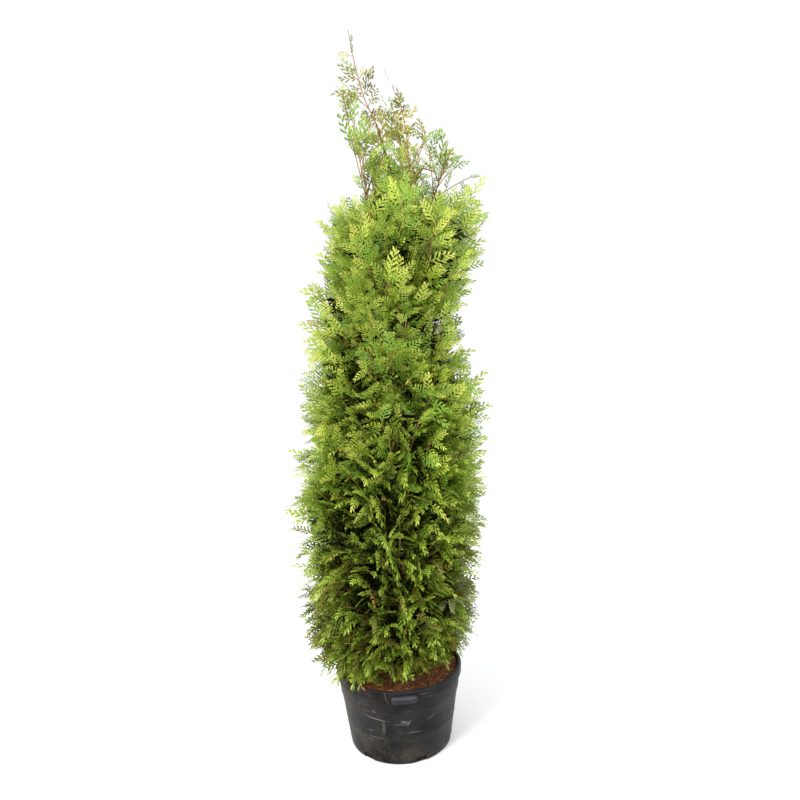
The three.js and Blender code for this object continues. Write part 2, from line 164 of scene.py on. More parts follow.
def buildRelief():
    # a height made of a coarse and a fine grain, stretched along one axis by Stretch
    group, inside, outside = makeGroup(
        "grainRelief",
        [("Scale", "Float", 40.0), ("Stretch", "Vector", (1, 1, 1)), ("Fine", "Float", 0.4)],
        [("Height", "Float")],
    )
    coord = addNode(group, "TexCoord").outputs["Object"]
    stretch = addNode(group, "VectorMath", {"operation": "MULTIPLY"})
    group.links.new(coord, stretch.inputs[0])
    group.links.new(inside.outputs["Stretch"], stretch.inputs[1])
    coarse = addNoise(group, inside.outputs["Scale"], 4, stretch.outputs[0])
    fineScale = addMath(group, "MULTIPLY", inside.outputs["Scale"], 6.0)
    fine = addNoise(group, fineScale, 2, stretch.outputs[0])
    fine = addMath(group, "MULTIPLY", fine, inside.outputs["Fine"])
    group.links.new(addMath(group, "ADD", coarse, fine), outside.inputs["Height"])
    return group


driftGroup = buildDrift()
reliefGroup = buildRelief()


def startMaterial(name, roughness, specular):
    material = bpy.data.materials.new(name)
    material.use_nodes = True
    tree = material.node_tree
    shader = tree.nodes["Principled BSDF"]
    shader.inputs["Roughness"].default_value = roughness
    shader.inputs["Specular IOR Level"].default_value = specular
    return material, tree, shader


def addDrift(tree, first, second, scale, mottle):
    node = tree.nodes.new("ShaderNodeGroup")
    node.node_tree = driftGroup
    node.inputs["First"].default_value = paint(first)
    node.inputs["Second"].default_value = paint(second)
    node.inputs["Scale"].default_value = scale
    node.inputs["Mottle"].default_value = mottle
    return node


def addRelief(tree, shader, scale, stretch, fine, strength, distance, extra=None):
    node = tree.nodes.new("ShaderNodeGroup")
    node.node_tree = reliefGroup
    node.inputs["Scale"].default_value = scale
    node.inputs["Stretch"].default_value = stretch
    node.inputs["Fine"].default_value = fine
    height = node.outputs["Height"]
    if extra is not None:
        height = addMath(tree, "ADD", height, extra)
    bump = addNode(tree, "Bump", Strength=strength, Distance=distance)
    tree.links.new(height, bump.inputs["Height"])
    tree.links.new(bump.outputs["Normal"], shader.inputs["Normal"])


def makeGrainy(name, first, second, scale, mottle, roughness, grain, stretch=(1, 1, 1), strength=0.4,
               distance=0.002, specular=0.35):
    material, tree, shader = startMaterial(name, roughness, specular)
    drift = addDrift(tree, first, second, scale, mottle)
    tree.links.new(drift.outputs["Colour"], shader.inputs["Base Color"])
    addRelief(tree, shader, grain, stretch, 0.5, strength, distance)
    return material


potWear = {
    "dust": "#534a3e", "scuff": "#a3a3a0",
    "dustHeight": 0.12, "scuffAmount": 0.32,
    "lines": [  # sloping scratches, level rubs and upright streaks: turn, stretch, scale and threshold
        ((0.3, 0.5, 0.62), (3.0, 3.0, 150.0), 2.2, 0.68),
        ((0, 0, 0), (6.0, 6.0, 230.0), 1.4, 0.66),
        ((0, 0, 0), (90.0, 90.0, 5.0), 1.1, 0.7),
    ],
    "scratches": [  # where each deep one starts and ends on the wall, its half width and how plain it is
        ((-0.127, -0.157, 0.174), (-0.033, -0.198, 0.16), 0.0024, 1.0),
        ((-0.004, -0.201, 0.166), (0.033, -0.196, 0.152), 0.0036, 0.8),
        ((0.032, -0.197, 0.168), (0.018, -0.196, 0.142), 0.0024, 0.8),
        ((-0.004, -0.201, 0.164), (0.017, -0.196, 0.142), 0.0018, 0.6),
        ((-0.059, -0.192, 0.166), (-0.061, -0.184, 0.108), 0.004, 0.3),
        ((-0.092, -0.185, 0.2), (-0.088, -0.182, 0.188), 0.003, 0.5),
        ((0.01, -0.196, 0.12), (0.075, -0.178, 0.118), 0.0018, 0.6),
        ((-0.11, -0.152, 0.1), (-0.05, -0.182, 0.094), 0.0016, 0.6),
        ((0.08, -0.178, 0.15), (0.12, -0.155, 0.17), 0.0016, 0.5),
    ],
    "scratchDepth": 0.03,
}


def addScratch(tree, coord, start, end, width, plain):
    # a long thin spot of wear from start to end, broken up by a fine grain
    start, end = Vector(start), Vector(end)
    span = end - start
    place = addNode(tree, "Mapping", {"vector_type": "TEXTURE"}, Location=(start + end) / 2,
                    Rotation=span.to_track_quat("X", "Z").to_euler(),
                    Scale=(span.length / 2, potWear["scratchDepth"], width))
    tree.links.new(coord, place.inputs["Vector"])
    ball = addNode(tree, "TexGradient", {"gradient_type": "SPHERICAL"})
    tree.links.new(place.outputs[0], ball.inputs[0])
    spot = addRamp(tree, ball.outputs["Fac"], 0.0, 0.5, 0.0, 1.4 * plain)
    return addMath(tree, "MULTIPLY", spot, addRamp(tree, addNoise(tree, 140.0, 3), 0.3, 0.6, 0.3, 1.0))


def buildWear():
    # brown dust low down and to the left, in patches, and pale scuffs and scratches on a base colour
    group, inside, outside = makeGroup(
        "plasticWear",
        [("Base", "Color", (0.01, 0.01, 0.01, 1)), ("Dust", "Color", (0.1, 0.08, 0.06, 1)),
         ("Scuff", "Color", (0.4, 0.4, 0.4, 1)), ("Dust Height", "Float", 0.1),
         ("Scuff Amount", "Float", 0.3)],
        [("Colour", "Color"), ("Roughness", "Float"), ("Marks", "Float")],
    )
    coord = addNode(group, "TexCoord").outputs["Object"]
    split = addNode(group, "SeparateXYZ")
    group.links.new(coord, split.inputs[0])
    low = addNode(group, "MapRange", {"clamp": True}, From_Min=0.0, To_Min=0.36, To_Max=0.04)
    group.links.new(split.outputs["Z"], low.inputs["Value"])
    group.links.new(inside.outputs["Dust Height"], low.inputs["From Max"])
    left = addRamp(group, split.outputs["X"], -0.22, 0.08, 0.4, 0.0)
    where = addMath(group, "ADD", low.outputs["Result"], left)
    patchy = addRamp(group, addNoise(group, 16.0, 7), 0.42, 0.72)
    speck = addRamp(group, addNoise(group, 230.0, 2), 0.58, 0.66, 0.0, 1.2)
    dusty = addMath(group, "ADD", addMath(group, "MULTIPLY", where, patchy),
                    addMath(group, "MULTIPLY", speck, where))
    dusted = addBlend(group, dusty, inside.outputs["Base"], inside.outputs["Dust"])
    marks = None
    for turn, stretch, scale, edge in potWear["lines"]:
        stretched = addNode(group, "Mapping", Rotation=turn, Scale=stretch)
        group.links.new(coord, stretched.inputs["Vector"])
        lines = addRamp(group, addNoise(group, scale, 3, stretched.outputs[0]), edge, edge + 0.06)
        patches = addRamp(group, addNoise(group, 7.0 + 3 * scale, 2), 0.5, 0.62)
        mark = addMath(group, "MULTIPLY", lines, patches)
        marks = mark if marks is None else addMath(group, "MAXIMUM", marks, mark)
    for scratch in potWear["scratches"]:
        marks = addMath(group, "MAXIMUM", marks, addScratch(group, coord, *scratch))
    amount = addMath(group, "MULTIPLY", marks, inside.outputs["Scuff Amount"])
    group.links.new(addBlend(group, amount, dusted, inside.outputs["Scuff"]), outside.inputs["Colour"])
    rough = addRamp(group, addMath(group, "ADD", dusty, addNoise(group, 60.0, 3)), 0.3, 1.3, 0.34, 0.75)
    group.links.new(rough, outside.inputs["Roughness"])
    group.links.new(marks, outside.inputs["Marks"])
    return group


wearGroup = buildWear()


def makePotPlastic(name, plastic, worn):
    # dark polyethylene with a fine moulded skin
    material, tree, shader = startMaterial(name, 0.5, 0.12)
    drift = addDrift(tree, plastic, worn, 11.0, 0.3)
    wear = tree.nodes.new("ShaderNodeGroup")
    wear.node_tree = wearGroup
    wear.inputs["Dust"].default_value = paint(potWear["dust"])
    wear.inputs["Scuff"].default_value = paint(potWear["scuff"])
    wear.inputs["Dust Height"].default_value = potWear["dustHeight"]
    wear.inputs["Scuff Amount"].default_value = potWear["scuffAmount"]
    tree.links.new(drift.outputs["Colour"], wear.inputs["Base"])
    tree.links.new(wear.outputs["Colour"], shader.inputs["Base Color"])
    tree.links.new(wear.outputs["Roughness"], shader.inputs["Roughness"])
    scored = addMath(tree, "MULTIPLY", wear.outputs["Marks"], -0.35)
    addRelief(tree, shader, 60.0, (1, 1, 0.5), 0.3, 0.25, 0.002, scored)
    return material


potPlastic = makePotPlastic("potPlastic", "#070809", "#1c1d1f")
# a lighter copy of the pot's plastic: painted light on the grips and a painted highlight on the rim's top lip
litPlastic = makePotPlastic("litPlastic", "#1d1e21", "#313238")
# a lighter copy still: a painted highlight on the grips' upward faces
highlightPlastic = makePotPlastic("highlightPlastic", "#36383c", "#4b4d53")
# near black for the notches at the pot's foot: painted shade in the recesses
notchShade = makeGrainy("notchShade", "#030303", "#090706", 30.0, 0.3, 0.95, 200.0)
soilCrumb = makeGrainy("soilCrumb", "#6b4029", "#9c6440", 26.0, 0.5, 0.95, 160.0,
                       strength=0.9, distance=0.004)
litterRust = makeGrainy("litterRust", "#b5683a", "#8c5230", 30.0, 0.3, 0.9, 300.0)
litterPale = makeGrainy("litterPale", "#d9a873", "#b88455", 30.0, 0.3, 0.9, 300.0)
stemGrey = makeGrainy("stemGrey", "#6d655a", "#4e4840", 30.0, 0.3, 0.9, 300.0)
barkSkin = makeGrainy("barkSkin", "#6b432c", "#8f5f3f", 14.0, 0.6, 0.9, 60.0, (3.0, 3.0, 0.35), 0.8, 0.003)
twigSkin = makeGrainy("twigSkin", "#a8763f", "#8a5a30", 30.0, 0.3, 0.8, 220.0, (1, 1, 0.4))
twigGreen = makeGrainy("twigGreen", "#9a963c", "#b0803f", 24.0, 0.2, 0.75, 220.0)
leafLooks = [  # from deep inside, darker there as painted shade, to the freshest tips, then those that keep one colour over a whole spray
    ("leafHollowShade", "#141b05", "#1e2807"),
    ("leafShade", "#36460f", "#445512"),
    ("leafDeep", "#5b701c", "#6b8021"),
    ("leafMid", "#80992e", "#8da336"),
    ("leafFresh", "#9eb23c", "#aabc45"),
    ("leafLime", "#b1c24c", "#bdcb57"),
    ("leafGold", "#c2c257", "#c2bb60"),
    ("leafDry", "#8b6a35", "#a8884a"),
    ("leafGrey", "#78804f", "#8a9060"),
    ("leafOlive", "#6a671f", "#7c792b"),
    ("leafStraw", "#95903b", "#a49f4e"),
    ("leafGreen", "#75972d", "#84a539"),
]
leafSkins = [makeGrainy(name, first, second, 11.0, 0.18, 0.48, 260.0, strength=0.25, distance=0.0008,
                        specular=0.08 if name == "leafHollowShade" else 0.35)
             for name, first, second in leafLooks]
leafTone = {name: index for index, (name, _, _) in enumerate(leafLooks)}
print("materials made")


camera = {
    "place": (0.0, -2.185, 1.355), "pitch": 4.3, "roll": -2.06, "yaw": -0.98,
    "lens": 28.8, "sensor": 36.0,
}
eye = bpy.data.cameras.new("eye")
eye.lens = camera["lens"]
eye.sensor_width = camera["sensor"]
eye.sensor_fit = "HORIZONTAL"
eyeObject = bpy.data.objects.new("eye", eye)
turn = (Matrix.Rotation(math.radians(camera["yaw"]), 4, "Z")
        @ Matrix.Rotation(math.radians(90 - camera["pitch"]), 4, "X")
        @ Matrix.Rotation(math.radians(camera["roll"]), 4, "Z"))
eyeObject.matrix_world = Matrix.Translation(camera["place"]) @ turn
bpy.context.scene.collection.objects.link(eyeObject)
bpy.context.scene.camera = eyeObject


def addLamp(name, place, target, size, power, colour):
    lamp = bpy.data.lights.new(name, "AREA")
    lamp.shape = "SQUARE"
    lamp.size = size
    lamp.energy = power
    lamp.color = colour
    piece = bpy.data.objects.new(name, lamp)
    piece.matrix_world = Matrix.Translation(place) @ (
        (Vector(target) - Vector(place)).to_track_quat("-Z", "Y").to_matrix().to_4x4())
    bpy.context.scene.collection.objects.link(piece)


addLamp("keyLight", (-2.6, -3.0, 4.4), (0, 0, 1.2), 2.4, 290, (1.0, 0.98, 0.94))
addLamp("fillLight", (3.2, -2.2, 2.2), (0, 0, 1.0), 3.0, 60, (0.94, 0.97, 1.0))
world = bpy.data.worlds.new("studio")
world.use_nodes = True
world.node_tree.nodes["Background"].inputs["Color"].default_value = (0.97, 0.98, 1.0, 1)
world.node_tree.nodes["Background"].inputs["Strength"].default_value = 1.05
bpy.context.scene.world = world
bpy.context.scene.view_settings.view_transform = "Standard"

floorSkin = makeGrainy("floorSkin", "#ffffff", "#fefefd", 1.5, 0.0, 0.9, 40.0, strength=0.02, distance=0.001)
floorBm = bmesh.new()
bmesh.ops.create_grid(floorBm, x_segments=8, y_segments=8, size=14.0)
floor = meshFromBmesh("floor", floorBm, [floorSkin])
print("camera, light and floor made")


# how the plant grows, by the same rule as its solids, in metres
plantHeight = 2.412
soilTop = 0.264
gap = 0.0003
spacing = 0.004
trunkPath = [(0, 0, 0.255), (0.004, 0.006, 0.7), (0.012, -0.006, 1.2), (0.04, 0.004, 1.6),
             (0.048, 0, 1.8), (0.03, -0.004, 1.96), (-0.008, 0.002, 2.11)]
leaderPath = [(-0.0082, 0.002, 2.1108), (-0.048, 0.004, 2.205), (-0.079, 0.002, 2.342),
              (-0.089, 0, plantHeight)]
trunk = {
    "base": 0.021, "tip": 0.0034, "taper": 1.15, "steps": 150, "sides": 26,
    "flare": 0.017, "flareHeight": 0.034, "buttresses": 5,
    "strips": 7.0, "stripDepth": 0.13,  # how closely the strips of bark follow each other, and their depth
}
crown = np.array([  # height, radius and lean towards +X
    (0.205, 0.2, -0.02), (0.285, 0.238, -0.04), (0.36, 0.266, -0.046), (0.43, 0.3, -0.028),
    (0.65, 0.323, -0.03), (0.8, 0.345, -0.028), (0.93, 0.34, -0.023), (1.07, 0.312, 0.011),
    (1.2, 0.326, 0.022), (1.34, 0.272, -0.005), (1.475, 0.276, -0.026), (1.6, 0.282, 0.04),
    (1.74, 0.292, 0.064), (1.805, 0.304, 0.088), (1.87, 0.252, 0.096), (1.93, 0.216, 0.126),
    (2, 0.194, 0.094), (2.06, 0.168, 0.06), (2.126, 0.13, 0.032), (2.19, 0.13, -0.008),
    (2.256, 0.08, -0.075), (plantHeight, 0.04, -0.088)])
tiers = [
    {"name": "skirt", "floor": 0.3, "rise": 0.02, "masses": 4, "turn": -100, "core": 0.78},
    {"name": "lower", "floor": 0.44, "rise": 0.36, "masses": 5, "turn": -82, "core": 0.76},
    {"name": "middle", "floor": 0.745, "rise": 0.45, "masses": 5, "turn": 54, "core": 0.74},
    {"name": "shoulder", "floor": 1.055, "rise": 0.5, "masses": 4, "turn": 20, "core": 0.72},
    {"name": "upper", "floor": 1.375, "rise": 0.55, "masses": 4, "turn": 62, "core": 0.64},
    {"name": "shoot", "floor": 1.69, "rise": 0.75, "masses": 5, "turn": 2, "core": 0},
    {"name": "leader", "floor": 2.06, "rise": 1.6, "masses": 1, "turn": 90, "core": 0},
    {"name": "sky", "floor": plantHeight + spacing, "rise": 0},
]
loose = {
    "closest": 28, "widest": 52, "lean": 0.75,  # how far twigs stand out from a shoot, and how much of that
    "turn": 137.5, "longest": 0.165, "shortest": 0.072,
    "leaderTwigs": 7, "leaderLength": 0.9, "leaderTop": 0.035,  # the last one: the longest near its tip
    "shootTwigs": 12, "shootLength": 1.2, "leafyBelow": 0.5,  # the last one: the share of a shoot
}
shootTips = [(0.225, 0.01, 2.04), (0.06, 0.1, 2.165), (-0.118, 0.036, 2.225), (-0.08, -0.05, 2.104),
             (0.06, -0.1, 2.185)]
bough = {
    "base": 0.0075, "tip": 0.004, "topShare": 0.55,  # radii, and how much of them is left at the top
    "steps": 24, "sides": 10, "sag": 0.22,
    "lowest": 0.31, "stagger": 0.023,  # where the first one starts, and how far apart the next ones do
    "denseTip": (0.22, 0.3), "openTip": (0.4, 0.14),  # share of the way out and lift where it ends
    "denseDrop": 0.95, "openDrop": 1.9,  # how far below its tip it starts, for each metre outwards
}


class Draws:
    # the same repeatable stream of numbers as the solids use
    def __init__(self, seed):
        self.state = seed

    def next(self):
        self.state = (self.state * 1664525 + 1013904223) % 4294967296
        return self.state / 4294967296

    def between(self, low, high):
        return mix(low, high, self.next())


axisRows = np.array(trunkPath + leaderPath[1:] + [(-0.089, 0, 2 * plantHeight)])


def axisAt(height):
    return Vector((np.interp(height, axisRows[:, 2], axisRows[:, 0]),
                   np.interp(height, axisRows[:, 2], axisRows[:, 1]), height))


def reach(height, azimuth):
    axis = axisAt(height)
    x = np.interp(height, crown[:, 0], crown[:, 2]) - axis.x
    radius = np.interp(height, crown[:, 0], crown[:, 1])
    along = x * math.cos(azimuth) - axis.y * math.sin(azimuth)
    across = x * math.sin(azimuth) + axis.y * math.cos(azimuth)
    return along + math.sqrt(max(0, radius * radius - across * across))


class Space:
    # a mass's own space: a sector of its tier
    def __init__(self, tierIndex, massIndex):
        self.tier, self.above = tiers[tierIndex], tiers[tierIndex + 1]
        self.half = math.pi / self.tier["masses"]
        self.azimuth = math.radians(self.tier["turn"]) + massIndex * 2 * self.half

    def pointAt(self, turn, share, lift):
        angle = self.azimuth + turn * self.half
        height, radius = mix(self.tier["floor"], self.above["floor"], lift), 0
        for _ in range(4):
            radius = share * max(0, reach(height, angle))
            height = mix(self.tier["floor"] + self.tier["rise"] * radius,
                         self.above["floor"] + self.above["rise"] * radius, lift)
        point = axisAt(height)
        return point + Vector((radius * math.cos(angle), radius * math.sin(angle), 0))


def bezier(points, share):
    # a point on a smooth curve through two end points and one pull point
    first, pull, last = points
    rest = 1 - share
    return first * rest * rest + pull * (2 * share * rest) + last * (share * share)


def bezierHeading(points, share):
    first, pull, last = points
    return ((pull - first) * (1 - share) + (last - pull) * share).normalized()


def splinePoint(rows, share):
    # centripetal Catmull-Rom through rows
    points = [Vector(row) for row in rows]
    points = [points[0] * 2 - points[1]] + points + [points[-1] * 2 - points[-2]]
    place = share * (len(rows) - 1)
    index = min(int(place), len(rows) - 2)
    local = place - index
    first, second, third, fourth = points[index:index + 4]
    steps = [0.0]
    for near, far in ((first, second), (second, third), (third, fourth)):
        steps.append(steps[-1] + max(1e-6, (far - near).length) ** 0.5)
    t0, t1, t2, t3 = steps
    t = mix(t1, t2, local)
    a1 = first * ((t1 - t) / (t1 - t0)) + second * ((t - t0) / (t1 - t0))
    a2 = second * ((t2 - t) / (t2 - t1)) + third * ((t - t1) / (t2 - t1))
    a3 = third * ((t3 - t) / (t3 - t2)) + fourth * ((t - t2) / (t3 - t2))
    b1 = a1 * ((t2 - t) / (t2 - t0)) + a2 * ((t - t0) / (t2 - t0))
    b2 = a2 * ((t3 - t) / (t3 - t1)) + a3 * ((t - t1) / (t3 - t1))
    return b1 * ((t2 - t) / (t2 - t1)) + b2 * ((t - t1) / (t2 - t1))


def boughCurve(space, index):
    kind = "open" if space.tier["core"] == 0 else "dense"
    tip = space.pointAt(0, *bough[kind + "Tip"])
    root = axisAt(tip.z)
    out = math.hypot(tip.x - root.x, tip.y - root.y)
    drop = out * bough[kind + "Drop"] + bough["stagger"] * (index % 3)
    start = axisAt(max(bough["lowest"] + bough["stagger"] * index, tip.z - drop))
    bend = start.lerp(tip, 0.55)
    bend.z -= bough["sag"] * out
    return start, bend, tip


class TubeBin:
    # collects tapering tubes and makes one mesh of them
    def __init__(self):
        self.points, self.faces, self.tones, self.count = [], [], [], 0

    def add(self, centres, radii, sides, tone=0, relief=None):
        centres = np.array([tuple(c) for c in centres])
        headings = np.gradient(centres, axis=0)
        headings /= np.linalg.norm(headings, axis=1)[:, None]
        side = np.cross(headings[0], (0.31, 0.87, 0.39))
        rings = []
        for index, (centre, heading) in enumerate(zip(centres, headings)):
            side = side - heading * side.dot(heading)
            side /= np.linalg.norm(side)
            other = np.cross(heading, side)
            angles = np.arange(sides) * 2 * math.pi / sides
            ring = radii[index] * np.ones(sides)
            if relief:
                ring = np.array([relief(index, angle, radii[index], centre) for angle in angles])
            spokes = np.cos(angles)[:, None] * side + np.sin(angles)[:, None] * other
            rings.append(centre + ring[:, None] * spokes)
        rows = len(centres)
        base = self.count
        grid = base + np.arange(rows * sides).reshape(rows, sides)
        nearRow, farRow = grid[:-1], grid[1:]
        quads = np.stack([nearRow, np.roll(nearRow, -1, 1), np.roll(farRow, -1, 1), farRow], -1)
        quads = quads.reshape(-1, 4)
        tris = np.concatenate([quads[:, [0, 1, 2]], quads[:, [0, 2, 3]]])
        ends = np.array([base + rows * sides, base + rows * sides + 1])
        low = np.stack([np.roll(grid[0], -1), grid[0], np.full(sides, ends[0])], -1)
        high = np.stack([grid[-1], np.roll(grid[-1], -1), np.full(sides, ends[1])], -1)
        faces = np.concatenate([tris, low, high])
        self.points += rings + [centres[:1], centres[-1:]]
        self.faces.append(faces)
        self.tones.append(np.full(len(faces), tone))
        self.count += rows * sides + 2

    def make(self, name, slots):
        piece = meshFromArrays(name, np.concatenate(self.points), np.concatenate(self.faces), slots,
                               np.concatenate(self.tones))
        piece.data.shade_smooth()
        return piece


def barkRelief(lengthwise, depth):
    # long shallow strips of bark, deeper between them
    def radiusAt(index, angle, radius, centre):
        spot = Vector((math.cos(angle) * 2.6, math.sin(angle) * 2.6, centre[2] * lengthwise))
        strips = noise.fractal(spot, 0.8, 2.1, 3)
        return radius * (1 + depth * strips)
    return radiusAt


def trunkRelief(index, angle, radius, centre):
    above = max(0.0, centre[2] - soilTop)
    flare = trunk["flare"] * math.exp(-above / trunk["flareHeight"])
    flare *= 0.75 + 0.25 * math.cos(trunk["buttresses"] * angle)
    return barkRelief(trunk["strips"], trunk["stripDepth"])(index, angle, radius, centre) + flare


trunkBin = TubeBin()
trunkShares = [i / (trunk["steps"] - 1) for i in range(trunk["steps"])]
trunkBin.add([splinePoint(trunkPath, mix(0.02, 1.0, share)) for share in trunkShares],
             [mix(trunk["tip"], trunk["base"], (1 - share) ** trunk["taper"]) for share in trunkShares],
             trunk["sides"], relief=trunkRelief)
trunkPiece = trunkBin.make("trunk_bark", [barkSkin])
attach(trunkPiece, "root")
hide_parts("trunk")

boughBin = TubeBin()
masses = []
for tierIndex, tier in enumerate(tiers[:-1]):
    for massIndex in range(tier["masses"]):
        space = Space(tierIndex, massIndex)
        seed = 1000 * (tierIndex + 1) + 37 * massIndex
        if tier["name"] == "leader":
            masses.append((space, None, seed, tier["name"]))
            continue
        curve = boughCurve(space, massIndex)
        foot = trunkPath[0][2]
        slim = mix(1, bough["topShare"], (curve[0].z - foot) / (plantHeight - foot))
        shares = [i / (bough["steps"] - 1) for i in range(bough["steps"])]
        boughBin.add([bezier(curve, share) for share in shares],
                     [mix(bough["base"], bough["tip"], share) * slim for share in shares],
                     bough["sides"], relief=barkRelief(11.0, 0.12))
        heading = bezierHeading(curve, 1)
        start = curve[2] + heading * gap
        end = space.pointAt(0, 0.6, 0.8) if tier["core"] > 0 else Vector(shootTips[massIndex])
        stem = (start, start + heading * (0.45 * (end - start).length), end)
        masses.append((space, stem, seed, f"{tier['name']}_{massIndex + 1}"))
boughPiece = boughBin.make("boughs_bark", [barkSkin])
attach(boughPiece, "root")
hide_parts(*[f"bough_{label}" for _, stem, _, label in masses if stem])
print("trunk and boughs made")


frond = {
    "shapes": 9, "axisWidth": 0.026, "bend": 0.1,
    "curl": (10, 34), "rise": (-0.16, 0.2),  # how far each lobe bends towards the tip, and stands up
    "closing": 22,  # by how many degrees the lobes close up towards the tip
    "forkFrom": 0.16,  # the shortest lobe that may fork
}
frondKinds = {  # lobes, how long and wide they are, how far they stand out, how many of them fork
    "full": {"lobes": 11, "long": 0.31, "wide": 0.066, "spread": 55, "forked": 0.22},
    "open": {"lobes": 9, "long": 0.34, "wide": 0.06, "spread": 48, "forked": 0.6},
    "tip": {"lobes": 6, "long": 0.42, "wide": 0.09, "spread": 46, "forked": 0.5},
    "bold": {"lobes": 7, "long": 0.34, "wide": 0.078, "spread": 50, "forked": 0.3},
    "coarse": {"lobes": 9, "long": 0.38, "wide": 0.085, "spread": 56, "forked": 0.0},
}


def lobe(points, faces, tones, root, angle, bend, length, width, rise, tone):
    # one scale-covered branchlet: a flat strip, pointed at its end, that curves towards the spray's tip
    base = len(points)
    near = np.array([math.cos(angle), math.sin(angle), rise])
    far = np.array([math.cos(angle - bend), math.sin(angle - bend), -rise])
    side = np.array([-near[1], near[0], 0]) * width / 2
    middle = root + near * length * 0.62
    tip = middle + far * length * 0.38
    points += [root - side * 0.6, root + side * 0.6, middle + side, middle - side, tip]
    faces += [(base, base + 3, base + 1), (base + 1, base + 3, base + 2), (base + 2, base + 3, base + 4)]
    tones += [tone, tone, tone]


def makeFrond(draws, look):
    # a flat feather one unit long: a curved axis with lobes to both sides in turn, some of them forked
    points, faces, tones = [], [], []
    bend = draws.between(-frond["bend"], frond["bend"])

    def axisPoint(share):
        return np.array([share, bend * share * share, 0])

    for index in range(3):
        near, far = axisPoint(index / 3), axisPoint((index + 1) / 3)
        span = far - near
        lobe(points, faces, tones, near, math.atan2(span[1], span[0]), 0, np.linalg.norm(span) * 1.15,
             frond["axisWidth"] * (1.3 - 0.3 * index), 0, 0 if index < 2 else 1)
    for index in range(look["lobes"]):
        share = 0.1 + 0.84 * index / look["lobes"]
        side = 1 if index % 2 else -1
        body = min(1, 0.55 + 1.6 * share) * (1 - max(0, share - 0.3) * 0.85)
        length = look["long"] * body * draws.between(0.85, 1.15)
        spread = mix(look["spread"], look["spread"] - frond["closing"], share)
        angle = side * math.radians(spread + draws.between(-6, 6))
        curl = side * math.radians(draws.between(*frond["curl"]))
        rise = draws.between(*frond["rise"])
        tone = 0 if share < 0.3 else (1 if share < 0.72 else 2)
        width = look["wide"] * (0.75 + 0.25 * body)
        root = axisPoint(share)
        lobe(points, faces, tones, root, angle, curl, length, width, rise, tone)
        if draws.next() < look["forked"] and length > frond["forkFrom"]:
            fork = root + np.array([math.cos(angle), math.sin(angle), rise]) * length * 0.42
            turn = angle - side * math.radians(draws.between(30, 44))
            lobe(points, faces, tones, fork, turn, curl * 0.5, length * 0.5, width * 0.85, rise, tone + 1)
            turn = angle + side * math.radians(draws.between(26, 40))
            lobe(points, faces, tones, fork, turn, -curl * 0.5, length * 0.36, width * 0.8, rise, tone)
    return np.array(points), np.array(faces), np.array(tones)


shapeDraws = Draws(77)
fronds = {(kind, shape): makeFrond(shapeDraws, look)
          for kind, look in frondKinds.items() for shape in range(frond["shapes"])}


class SprayBin:
    # collects the place of each spray, then makes one mesh of all of them
    def __init__(self, draws):
        self.rows, self.draws = {}, draws

    def add(self, kind, root, heading, across, length, droop, tone):
        heading = heading.normalized()
        tipHeight = root.z + length * (heading.z - droop * 1.1)
        if tipHeight < lowestTip(root):
            heading, droop = Vector((heading.x, heading.y, abs(heading.z))).normalized(), 0.0
            if root.z < lowestTip(root):
                return
        if any(inOpening(root + heading * (length * share)) for share in (0.3, 0.6, 0.9)):
            return
        across = (across - heading * across.dot(heading)).normalized()
        up = heading.cross(across)
        key = (kind, int(self.draws.between(0, frond["shapes"] - 0.001)))
        self.rows.setdefault(key, []).append((*root, *heading, *across, *up, length, droop, tone))

    def make(self, name, slots):
        points, faces, tones, base = [], [], [], 0
        for key, rows in sorted(self.rows.items()):
            local, localFaces, localTones = fronds[key]
            table = np.array(rows)
            root, heading, across, up = (table[:, i:i + 3] for i in (0, 3, 6, 9))
            length, droop, tone = table[:, 12], table[:, 13], table[:, 14]
            x, y, z = local[:, 0], local[:, 1], local[:, 2]
            cupped = z[None] - 0.4 * droop[:, None] * np.abs(y[None])
            placed = (root[:, None] + length[:, None, None] * (
                x[None, :, None] * heading[:, None] + y[None, :, None] * across[:, None]
                + cupped[:, :, None] * up[:, None]))
            placed[:, :, 2] -= (length * droop)[:, None] * (x[None] ** 2 + 0.5 * y[None] ** 2)
            count = len(local)
            points.append(placed.reshape(-1, 3))
            offsets = base + count * np.arange(len(rows))
            faces.append((localFaces[None] + offsets[:, None, None]).reshape(-1, 3))
            shaded = np.clip(tone[:, None] + localTones[None], 0, leafTone["leafGold"])
            tones.append(np.where(tone[:, None] > leafTone["leafGold"], tone[:, None], shaded).ravel())
            base += count * len(rows)
        return meshFromArrays(name, np.concatenate(points), np.concatenate(faces), slots,
                              np.concatenate(tones))


